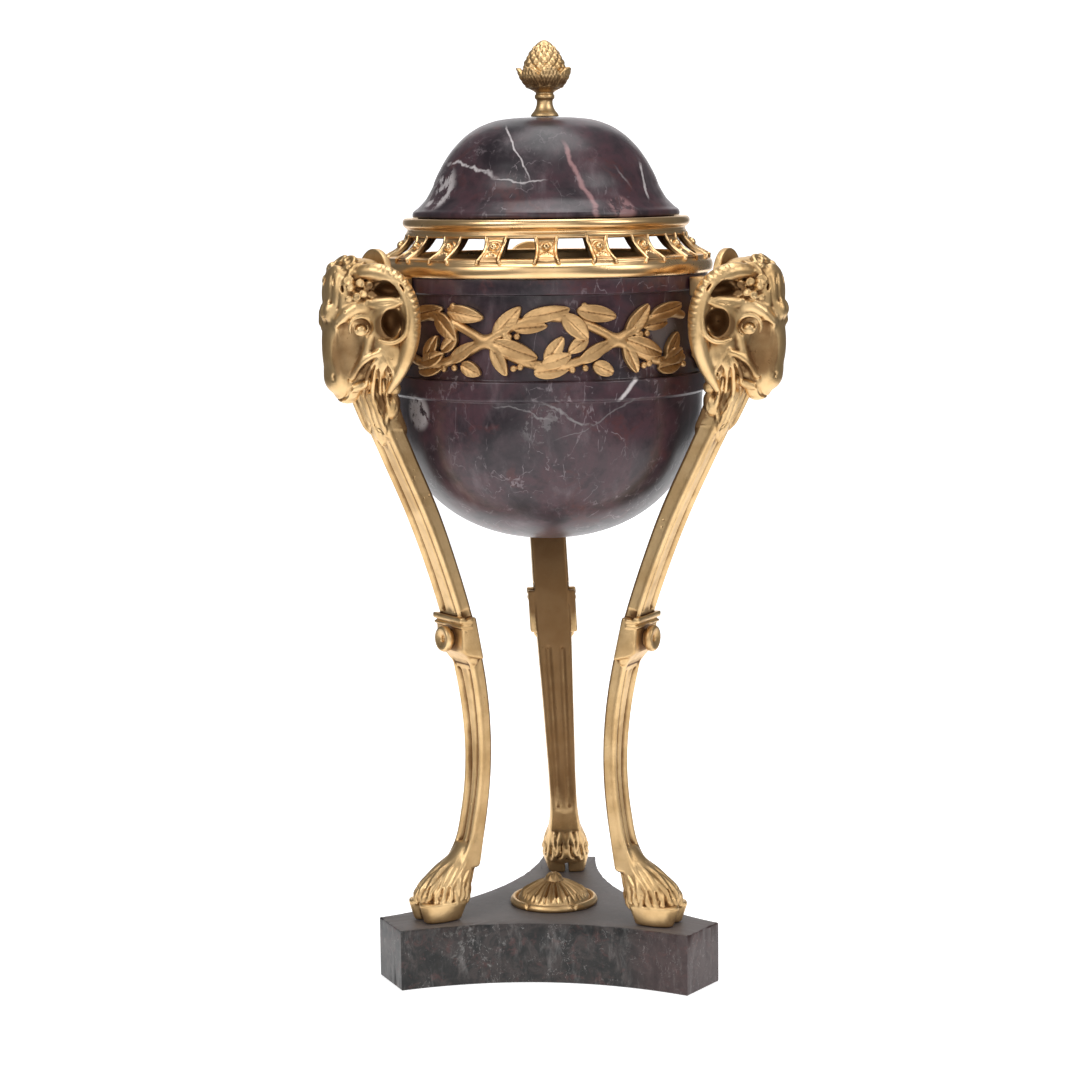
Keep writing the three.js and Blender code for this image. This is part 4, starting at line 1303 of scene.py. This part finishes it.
def gallery_rings():
    low = [
        [68.6, 317.8], [72.9, 317.8, 0.3], [74.0, 318.9, 0.8], [74.3, 320.9, 1.2], [73.9, 322.9, 0.9],
        [72.7, 323.9, 0.2], [72.3, 324.5, 0.2], [72.3, 325.5, 0.3], [70.8, 326.1, 0.5], [68.2, 326.3, 0.3],
        [67.6, 324.5], [67.6, 318.6],
    ]
    high = [
        [59.6, 334.2], [62.1, 334.2, 0.2], [62.6, 334.9, 0.3], [62.6, 336.1, 0.3], [61.9, 336.9, 0.5],
        [62.2, 337.8, 0.5], [63.3, 338.5, 0.5], [64.1, 339.8, 0.9], [64.0, 341.3, 0.9],
        [63.1, GALLERY_TOP, 0.4], [60.2, GALLERY_TOP, 0.3], [59.6, 341.6],
    ]
    return low, high


def rib_form():
    """One strap of the gallery on the +X side: bordered, with a drilled bead and a small fan at its foot."""
    clay = Clay((57, 0, 323), (76, 8, 337.5), TRIM_STEP * 0.9, mirrored=True)
    heights = [323.5, 325.2, 326.6, 328.4, 330.6, 333, 335.5]
    radii = [72.4, 71.6, 69.4, 66.6, 64.3, 62.6, 61.9]
    halves = [6.1, 5.7, 5.1, 4.7, 4.6, 4.9, 5.4]

    def distance(x, y, z):
        level = z[0, 0]
        middle = smooth_curve(level, heights, radii).astype(np.float32)
        half = smooth_curve(level, heights, halves).astype(np.float32)
        slope = np.gradient(middle, level)
        lean = 1 / np.sqrt(1 + slope**2)
        out = (x - middle + 0.8) * lean
        panel = soft_max(np.abs(out) - 1.0, np.abs(y) - half, 0.5)
        border = np.sqrt((out - 0.9) ** 2 + (np.abs(y) - half + 0.75) ** 2) - 0.85
        return soft_max(soft_min(panel, border, 0.3), soft_max(z - 335.6, 323.6 - z, 0.5), 0.5)

    clay.add((distance, (58, -7, 323), (75, 7, 336)), 0.2)
    clay.add(egg((65.3, 0, 330.8), (1.9, 1.9, 1.9)), 0.3)
    clay.groove([[68.5, 0, 332, 0.55], [65.4, 0, 330.9, 0.4]], 0.15)
    clay.add(hoop((64.6, 0, 330.7), (0.8, 0, 0.5), 2.5, 0.55), 0.3)
    fan_radius = 2.3
    for turn in (-60, -30, 0, 30, 60):
        across = fan_radius * math.sin(math.radians(turn))
        up = fan_radius * math.cos(math.radians(turn))
        clay.add(egg((69.6 - 0.9 * up, across, 326.1 + 0.75 * up), (1.1, 0.7, 1.0)), 0.2)
    return clay.mesh()


def gallery_mesh():
    segments = 180
    points = []
    faces = []
    for ring in gallery_rings():
        profile = eased_profile([*ring, ring[0][:2]], 0.3)[:-1]
        ring_points, ring_faces = turned_form(profile, segments)
        offset = sum(len(block) for block in points)
        points.append(ring_points)
        faces.extend([corner + offset for corner in face] for face in ring_faces)
    rib_points, rib_quads = rib_form()
    rib_quads = facing_out(rib_points, rib_quads)
    for rib in range(RIB_COUNT):
        turn = math.radians(-90) + rib * TURN / RIB_COUNT
        cosine = math.cos(turn)
        sine = math.sin(turn)
        spin = np.array([[cosine, sine, 0], [-sine, cosine, 0], [0, 0, 1]])
        offset = sum(len(block) for block in points)
        points.append(rib_points @ spin)
        faces.extend((rib_quads + offset).tolist())
    return build_mesh("gallery_gilt", np.vstack(points), faces)


# Laurel frieze, modelled flat: x runs round the band, y is the rise from its back and z is the height

LEAVES = [
    # From each crossing: along and up to the leaf's foot, heading, length, width and rise
    (4.2, 2.1, 47, 17.4, 6.3, 0.5), (4.2, 0, -20, 20.2, 6.4, 0.7), (3.4, -2.1, -63, 13.8, 5.2, 0.4),
    (12.7, 5.5, 5, 14.9, 4.6, 0.1), (16.9, 9.7, 11.5, 20.6, 5.8, 0.5), (33.9, 11.4, -45, 15, 7.0, 0.9),
    (44.4, 1.6, 217, 10.5, 5.2, 0.3), (26.3, -8.9, 55, 13.4, 5.8, 0.6), (24.6, -10.2, 20, 13.5, 5.6, 0.8),
    (21.2, -13.1, 6.5, 15.3, 5.8, 0.3), (39.8, 13.1, -10, 18, 6.3, 0.6), (40.7, -8.9, 31.7, 16.5, 5.2, 0.4),
    (46.6, -9.7, -24.6, 10.3, 5.6, 0.6),
]
BERRIES = [(11, 2.2), (14.4, 2.3), (12.7, -11.2), (15.6, -10.6), (21.2, -9.6), (28.8, 10.4), (43.2, -11.4),
           (43, 15), (9.4, 2.6), (37.6, -12)]
FRIEZE_HALF_LENGTH = 68.5
FRIEZE_REACH = BAND_RADIUS + 1.6
CROSSING_RUN = math.radians(2 * CROSSING_ANGLE) * FRIEZE_REACH


def add_leaf(clay, along, up, heading, length, width, rise):
    turn = math.radians(heading)
    cosine = math.cos(turn)
    sine = math.sin(turn)

    def distance(x, y, z):
        run = ((x - along) * cosine + (z - up) * sine) / length
        across = -(x - along) * sine + (z - up) * cosine
        inside = np.clip(run, 0, 1)
        half = width * 0.58 * np.maximum(np.sin(math.pi * inside**0.85), 0) ** 0.58
        edge = np.abs(across) - half
        ends = np.maximum(-run, run - 1) * length
        outline = np.maximum(edge * 0.8, ends)
        share = np.clip(np.abs(across) / np.maximum(half, 0.4), 0, 1)
        crease = np.exp(-((across / 0.42) ** 2)) * 0.5
        ribs = 0.12 * np.maximum(np.cos(TURN * (run * length * 0.42 - np.abs(across) * 0.5)), 0) ** 3
        top = 1.45 + rise + 0.5 * share**2 - crease - ribs + 0.6 * np.sin(math.pi * inside)
        return soft_max(outline, y - top, 0.7)

    clay.add((distance, (along - length, -1, up - length), (along + length, 4, up + length)), 0.25)


def branch_level(run, sign):
    return sign * BRANCH_SWING * np.sin(math.pi * run / CROSSING_RUN)


def frieze_form():
    step = TRIM_STEP * 1.05
    clay = Clay((-FRIEZE_HALF_LENGTH - 2, -0.8, -19), (FRIEZE_HALF_LENGTH + 2, 5.2, 19), step)
    shift = math.radians(CROSSING_SHIFT) * FRIEZE_REACH
    starts = [share * CROSSING_RUN + shift for share in (-1.5, -0.5, 0.5)]
    for sign in (-1, 1):
        runs = np.linspace(-FRIEZE_HALF_LENGTH, FRIEZE_HALF_LENGTH, 90)
        levels = branch_level(runs - starts[0], sign)
        for run, level, after, rise in zip(runs, levels, runs[1:], levels[1:]):
            clay.ridge([[run, 0.4, level, 2.0], [after, 0.4, rise, 2.0]], 0.4)
    for start in starts:
        clay.add(egg((start, 0.4, 0), (5.0, 2.4, 2.9)), 1.2)
        for along, up, heading, length, width, rise in LEAVES:
            foot = start + along
            tip = foot + length * math.cos(math.radians(heading))
            if max(abs(foot), abs(tip)) < FRIEZE_HALF_LENGTH + 1:
                add_leaf(clay, foot, up, heading, length, width, rise)
        for along, up in BERRIES:
            if abs(start + along) < FRIEZE_HALF_LENGTH:
                clay.add(egg((start + along, 1.5, up), (1.45, 1.5, 1.45)), 0.25)
                clay.cut(egg((start + along, 3.1, up), (0.35, 0.6, 0.35)), 0.15)
    floor = (lambda x, y, z: y + 0 * x + 0 * z, clay.low, clay.low + clay.count * step)
    clay.cut(floor, 0.2)
    points, quads = clay.mesh()
    turn = points[:, 0] / FRIEZE_REACH
    radius = FRIEZE_BACK + points[:, 1]
    bent = np.column_stack([radius * np.cos(turn), radius * np.sin(turn), FRIEZE_MIDDLE + points[:, 2]])
    return bent, quads


# Rosette and finial

def rosette_mesh():
    petals = 17
    around = petals * 24
    rings = 90
    base = PLINTH_HEIGHT + SEAT_GAP
    rim_middle = 18.5
    rim_half_width = 1.75
    dome_radius = 17.2
    button_radius = 4.2
    turns = np.arange(around) * TURN / around
    phase = (turns * petals / TURN) % 1 - 0.5
    rows = [np.column_stack([np.cos(turns) * ROSETTE_RADIUS * 0.985, np.sin(turns) * ROSETTE_RADIUS * 0.985,
                             np.full(around, base)])]
    for part in np.linspace(0, 1, rings):
        radius = ROSETTE_RADIUS * (1 - part) + 0.05 * part
        rim = 2.9 * math.sqrt(max(0.0, 1 - ((radius - rim_middle) / rim_half_width) ** 2))
        dome = 1.2 + 9.4 * math.cos(radius / dome_radius * math.pi / 2) ** 0.72 if radius < 17.0 else 0.9
        lift = np.full(around, max(rim, dome))
        if 3.6 < radius < 16.6:
            share = float(ease(radius, 3.6, 5.6) * (1 - ease(radius, 14.6, 16.4)))
            deep = 0.55 + 1.35 * (radius - 3.6) / 13
            tongue = 1 - np.abs(2 * phase) ** 4
            crease = np.exp(-((phase / 0.08) ** 2)) * 0.5
            edge = np.exp(-(((np.abs(phase) - 0.3) / 0.08) ** 2)) * 0.4
            lift = lift + share * deep * (1.2 * tongue - crease + edge - 1.0)
            bead = np.exp(-(((np.abs(phase) - 0.5) / 0.16) ** 2)) * math.exp(-(((radius - 14.4) / 0.9) ** 2))
            lift = lift + 1.9 * bead
        if radius < button_radius:
            button = 10.6 + 3.2 * math.sqrt(1 - (radius / button_radius) ** 2) ** 1.4
            share = float(ease(radius, 0.8, 2.4) * (1 - ease(radius, 3.4, button_radius)))
            lift = button + 0.4 * np.cos(turns * 6) * share
        rows.append(np.column_stack([np.cos(turns) * radius, np.sin(turns) * radius, base + lift]))
    # Two worn notches in the rim, towards the front
    for azimuth, deep in ((-128, 0.9), (-62, 1.1)):
        away = (np.degrees(turns) - azimuth + 180) % 360 - 180
        for row in rows[1:12]:
            row[:, 2] -= deep * np.exp(-((away / 2.6) ** 2)) * (row[:, 2] > base + 1)
    return build_mesh("rosette_gilt", np.vstack(rows), stitched(len(rows), around))


def finial_form():
    step = TRIM_STEP * 0.85
    clay = Clay((-14.5, -14.5, FINIAL_FOOT - 1), (14.5, 14.5, FINIAL_TOP + 1.5), step)
    low = (-14, -14, FINIAL_FOOT)
    high = (14, 14, FINIAL_TOP)
    # Heights and radii
    stem = np.array([
        [386.5, 6.3], [387.2, 6.2], [388, 5.7], [389, 4.8], [390.2, 4.1], [391.8, 3.6], [393.2, 3.5],
        [394, 3.7], [394.5, 4.4], [395.9, 4.4], [396.4, 3.9], [397.4, 3.9], [398, 4.6],
    ])
    cone = np.array([
        [400, 8.4], [403, 9.4], [406, 9.7], [409, 9.1], [412, 7.9], [415, 6.1], [417.4, 4.2], [419, 2.4],
        [420, 1.0],
    ])
    cup = np.array([
        [397.2, 4.0], [398, 5.4], [399, 7.2], [400.4, 8.9], [402.2, 10.2], [404, 11.1], [406, 11.8],
        [408.4, 12.6],
    ])

    def polar(x, y):
        return np.hypot(x, y), np.arctan2(y, x)

    def stem_distance(x, y, z):
        reach, _ = polar(x, y)
        radius = np.interp(z[0, 0], *stem.T).astype(np.float32)
        return soft_max(reach - radius, soft_max(z - 398, FINIAL_FOOT - z, 0.3), 0.4)

    def cone_distance(x, y, z):
        reach, turn = polar(x, y)
        radius = smooth_curve(z[0, 0], *cone.T).astype(np.float32)
        rows = (z - 400) / 2.1
        first = turn * 12 / TURN + rows * 0.5
        second = turn * 12 / TURN - rows * 0.5
        scale = np.abs(np.sin(math.pi * first)) * np.abs(np.sin(math.pi * second))
        relief = 1.1 * scale**0.5 - 0.7
        fade = 1 - ease(z, 417, 420)
        return soft_max((reach - radius - relief * fade) * 0.8, soft_max(z - 420, 399 - z, 0.5), 0.8)

    def cup_distance(x, y, z):
        reach, turn = polar(x, y)
        radius = np.interp(z[0, 0], *cup.T).astype(np.float32)
        phase = (turn * 7 / TURN) % 1 - 0.5
        ribs = np.cos(turn * 42) * np.sin((z - 398) * 1.5)
        tip = 405.2 + 2.8 * np.maximum(np.cos(math.pi * phase), 0) ** 1.2
        gap = 0.8 * (np.abs(phase) * 2) ** 6 * ease(z, 400, 404)
        wall = np.abs(reach - radius + 0.9 + gap - 0.3 * ribs) - 1.0
        solid = np.where(z < 403, reach - radius - 0.3 * ribs + gap, wall)
        return soft_max(solid * 0.8, soft_max(z - tip, 397 - z, 0.6), 0.5)

    clay.add((stem_distance, low, high), 0.4)
    clay.add((cone_distance, low, high), 0.4)
    clay.add((cup_distance, low, high), 0.3)
    return clay.mesh()


def boss_mesh():
    """The knee's button, with its axis along +Z: a thick disc on a short neck, dished to a hole."""
    corners = [
        [0, 0], [3.8, 0, 0.1], [3.8, 1.3, 0.3], [5.6, 1.7, 0.5], [6.0, 3.3, 0.8], [5.3, 4.9, 0.9],
        [3.6, 4.7, 1.2], [1.5, 3.9, 0.5], [1.2, 2.6, 0.3], [0, 2.4],
    ]
    return build_mesh("boss_gilt", *turned_form(eased_profile(corners, 0.3, 4), 64))


# Pieces

def placed(mesh, stand, squeeze=0.0, lift=0.0):
    """A copy of a mesh drawn in the leg's frame, leaned and turned to its place, with its head reshaped."""
    azimuth, lean, pivot = stand
    copy = mesh.copy()
    points = values_of(copy.vertices, "co", 3)
    head = ease(points[:, 2] / MILLIMETRE, *HEAD_FADE)
    points[:, 0] -= squeeze * np.maximum(points[:, 0] - HEAD_BACK * MILLIMETRE, 0) * head
    points[:, 2] += lift * MILLIMETRE * head
    copy.vertices.foreach_set("co", points.ravel())
    shear = Matrix.Identity(4)
    shear[1][2] = lean
    shear[1][3] = -lean * pivot * MILLIMETRE
    copy.transform(Matrix.Rotation(math.radians(azimuth), 4, "Z") @ shear)
    return copy


def make_legs(gilt):
    leg = sculpted("leg_gilt", *leg_form(), LEG_TRIANGLES, (6, 30))
    stored(leg, "shade_and_patina", leg_shade_and_patina(points_of(leg)))
    boss = boss_mesh()
    seat = [value * MILLIMETRE for value in (KNEE_FACE + SEAT_GAP, 0, BUTTON_HEIGHT)]
    boss.transform(Matrix.Translation(seat) @ Matrix.Rotation(math.pi / 2, 4, "Y"))
    mark_hollows(boss, (2, 6))
    for name, stand in LEG_STANDS.items():
        casting = placed(leg, stand, *HEAD_SHAPES[name])
        place_piece(f"cast_leg_{name}", casting, gilt, f"leg_{name}")
        place_piece(f"turned_boss_{name}", placed(boss, stand), gilt, f"knee_boss_{name}")


def make_bronze(gilt, matt, polished):
    laurel = sculpted("frieze_gilt", *frieze_form(), FRIEZE_TRIANGLES, (4, 16))
    for name, azimuth in FRIEZE_AZIMUTHS.items():
        copy = laurel.copy()
        copy.transform(Matrix.Rotation(math.radians(azimuth), 4, "Z"))
        place_piece(f"laurel_{name}", copy, matt, f"frieze_{name}")
    gallery = thinned(gallery_mesh(), GALLERY_TRIANGLES)
    mark_hollows(gallery, (4, 16))
    place_piece("pierced_gallery", gallery, polished, "gallery")
    rosette = thinned(rosette_mesh(), ROSETTE_TRIANGLES)
    mark_hollows(rosette, (6, 30))
    stored(rosette, "shade_and_patina", shade_and_patina_of(points_of(rosette), ROSETTE_STAINS))
    place_piece("domed_rosette", rosette, gilt, "plinth_rosette")
    finial = sculpted("finial_gilt", *finial_form(), FINIAL_TRIANGLES, (6, 24))
    stored(finial, "shade_and_patina", shade_and_patina_of(points_of(finial), FINIAL_PAINTED_SHADE))
    place_piece("pine_cone_finial", finial, gilt, "finial")


def make_marble(dark, base):
    place_piece("bowl_shell", bowl_mesh(), dark, "bowl")
    place_piece("lid_dome", lid_mesh(), dark, "lid")
    slab = place_piece("plinth_slab", plinth_mesh(), base, "plinth")
    sharpest_smooth_edge = math.radians(35)
    slab.data.set_sharp_from_angle(angle=sharpest_smooth_edge)


# Stage, light and camera

def make_stage():
    bpy.ops.mesh.primitive_plane_add(size=1)
    floor = bpy.context.object
    floor.name = "floor"
    mesh = floor.data
    mesh.clear_geometry()
    rows = [(-3.5, 0.0), (-0.4, 0.0), (1.6, 0.0)]
    bend = 0.9
    for step in range(1, 13):
        turn = step / 12 * math.pi / 2
        rows.append((1.6 + bend * math.sin(turn), bend * (1 - math.cos(turn))))
    rows.append((2.5, 5.0))
    points = [(side * (0.42 + 0.2 * max(y, 0)), y, z) for y, z in rows for side in (-1, 1)]
    faces = [[2 * i, 2 * i + 1, 2 * i + 3, 2 * i + 2] for i in range(len(rows) - 1)]
    mesh.from_pydata(points, [], faces)
    mesh.shade_smooth()
    material, tree, shader = new_material("pale_floor")
    place = tree.nodes.new("ShaderNodeTexCoord").outputs["Object"]
    tone = ramp(tree, noise(tree, place, 3, 2), [(0.3, (0.93, 0.93, 0.93)), (0.7, (0.95, 0.95, 0.95))])
    tree.links.new(tone, shader.inputs["Base Color"])
    shader.inputs["Roughness"].default_value = 0.9
    shader.inputs["Emission Color"].default_value = (1, 1, 1, 1)
    shader.inputs["Emission Strength"].default_value = 0.6
    mesh.materials.append(material)


def soft_box(name, place, target, width, height, power):
    lamp = bpy.data.lights.new(name, "AREA")
    lamp.shape = "RECTANGLE"
    lamp.size = width
    lamp.size_y = height
    lamp.energy = power
    holder = bpy.data.objects.new(name, lamp)
    bpy.context.scene.collection.objects.link(holder)
    holder.location = place
    aim = Vector(target) - Vector(place)
    holder.rotation_euler = aim.to_track_quat("-Z", "Y").to_euler()


def make_light():
    world = bpy.data.worlds.new("studio")
    bpy.context.scene.world = world
    world.use_nodes = True
    back = world.node_tree.nodes["Background"]
    back.inputs["Color"].default_value = (0.95, 0.97, 1, 1)
    back.inputs["Strength"].default_value = 0.16
    middle = (0, 0, 0.22)
    soft_box("key", (-1.2, -1.3, 1.4), middle, 1.0, 1.3, 17)
    soft_box("fill", (1.4, -0.9, 1.2), middle, 0.8, 1.2, 12)
    soft_box("top", (0.1, 0.1, 2.3), middle, 1.6, 1.4, 26)
    soft_box("front", (0.0, -2.4, 0.9), middle, 1.6, 1.3, 7)


def make_camera():
    lens_pixels = 2616.9
    picture_pixels = 1080
    sensor = 36.0
    principal_x = 549.8
    camera = bpy.data.cameras.new("camera")
    camera.sensor_width = sensor
    camera.lens = sensor * lens_pixels / picture_pixels
    camera.shift_x = (picture_pixels / 2 - principal_x) / picture_pixels
    camera.clip_end = 50
    holder = bpy.data.objects.new("camera", camera)
    bpy.context.scene.collection.objects.link(holder)
    pitch = 8.069
    roll = -0.667
    place = (0, -1.1769, 0.3635)
    tilt = Euler((math.radians(90 - pitch), 0, 0)).to_matrix() @ Matrix.Rotation(math.radians(roll), 3, "Z")
    holder.matrix_world = Matrix.Translation(place) @ tilt.to_4x4()
    bpy.context.scene.camera = holder


make_camera()
make_stage()
make_light()
bpy.context.scene.view_settings.view_transform = "Standard"

gilt = gilt_material(
    "cast_gilt", bright=(0.78, 0.54, 0.275), dull=(0.60, 0.39, 0.18), dark=(0.18, 0.092, 0.038),
    rough=0.42, pitting=0.9,
)
matt = gilt_material(
    "matt_gilt", bright=(0.66, 0.42, 0.20), dull=(0.45, 0.27, 0.12), dark=(0.12, 0.06, 0.026),
    rough=0.48, pitting=0.9,
)
polished = gilt_material(
    "polished_gilt", bright=(0.86, 0.58, 0.30), dull=(0.76, 0.50, 0.245), dark=(0.28, 0.14, 0.055),
    rough=0.29, pitting=0.08,
)
WHITE = (0.62, 0.57, 0.57)
PINK = (0.36, 0.20, 0.20)
GREY = (0.24, 0.22, 0.22)
dark_marble = marble_material(
    "aubergine_marble", ground=(0.044, 0.027, 0.033), patch=(0.066, 0.031, 0.039),
    black=(0.016, 0.010, 0.014), pale=(0.29, 0.24, 0.255), rust=(0.082, 0.027, 0.028),
    scale=32, rough=0.31, net=0.55, clouds=0.2,
    # Each vein: normal and offset of its sheet, width, wander, middle, reach, strength and tint
    veins=[
        ((-0.912, -0.007, -0.41), -140.2, 0.55, 7, (-12.5, -36.8, 370.6), 20, 0.8, WHITE),
        ((-0.927, 0.011, -0.374), -148.6, 1.5, 8, (16, -47, 358), 24, 0.8, PINK),
        ((-0.8, 0.1, -0.6), -246.0, 0.6, 8, (27, -47, 354), 17, 0.7, WHITE),
        ((-0.979, 0.036, -0.201), -115.0, 0.6, 4, (42.9, -23.8, 358.7), 12, 0.8, WHITE),
        ((0.1, -0.1, 0.99), 360.6, 1.2, 16, (-38, -32, 356), 24, 0.8, WHITE),
        ((0.05, -0.1, 0.99), 361.5, 0.5, 12, (-12, -49, 357), 14, 0.6, WHITE),
        ((-0.714, -0.036, 0.699), 167.5, 1.3, 6, (33.9, -62.6, 270.8), 8, 0.9, WHITE),
        ((-0.228, -0.092, -0.969), -244.2, 0.5, 12, (-11, -67.7, 260.9), 15, 0.6, GREY),
        ((-0.333, -0.085, -0.939), -241.7, 0.8, 12, (7.1, -68.5, 261), 17, 0.8, GREY),
        ((0.437, -0.094, -0.895), -214.5, 0.4, 8, (22.1, -63.2, 257.1), 24, 0.5, GREY),
    ],
    # Each patch: middle, reach, threshold of its crumbs, strength and tint
    patches=[
        ((-45.3, -22.2, 354), 13, 0.48, 0.75, WHITE), ((-56.8, -39.7, 259.3), 9.5, 0.40, 0.7, WHITE),
        ((47.5, -50.8, 291), 15, 0.42, 0.6, GREY), ((-1.4, -69.3, 262), 18, 0.54, 0.4, GREY),
        # The last patch, a grey haze over the lid's top, is a painted sheen
        ((33, -47, 347.5), 8, 0.44, 0.6, PINK), ((0, 0, 372), 26, 0.35, 0.25, GREY),
    ],
)
plinth_marble = marble_material(
    "breccia_marble", ground=(0.016, 0.014, 0.013), patch=(0.040, 0.030, 0.028), black=(0.004, 0.004, 0.004),
    pale=(0.34, 0.32, 0.31), rust=(0.07, 0.030, 0.027), scale=110, rough=0.34, net=0.5, clouds=0.8,
    patches=[
        ((-22, -35, 16), 22, 0.62, 0.7, (0.42, 0.40, 0.39)),
        ((-40, -44, 12), 22, 0.58, 0.5, (0.17, 0.16, 0.15)),
        ((50, -40, 12), 24, 0.6, 0.5, (0.26, 0.23, 0.22)),
        ((62, -38, 12), 34, 0.3, 0.4, (0.075, 0.034, 0.034)),
    ],
)

make_legs(gilt)
make_bronze(gilt, matt, polished)
make_marble(dark_marble, plinth_marble)
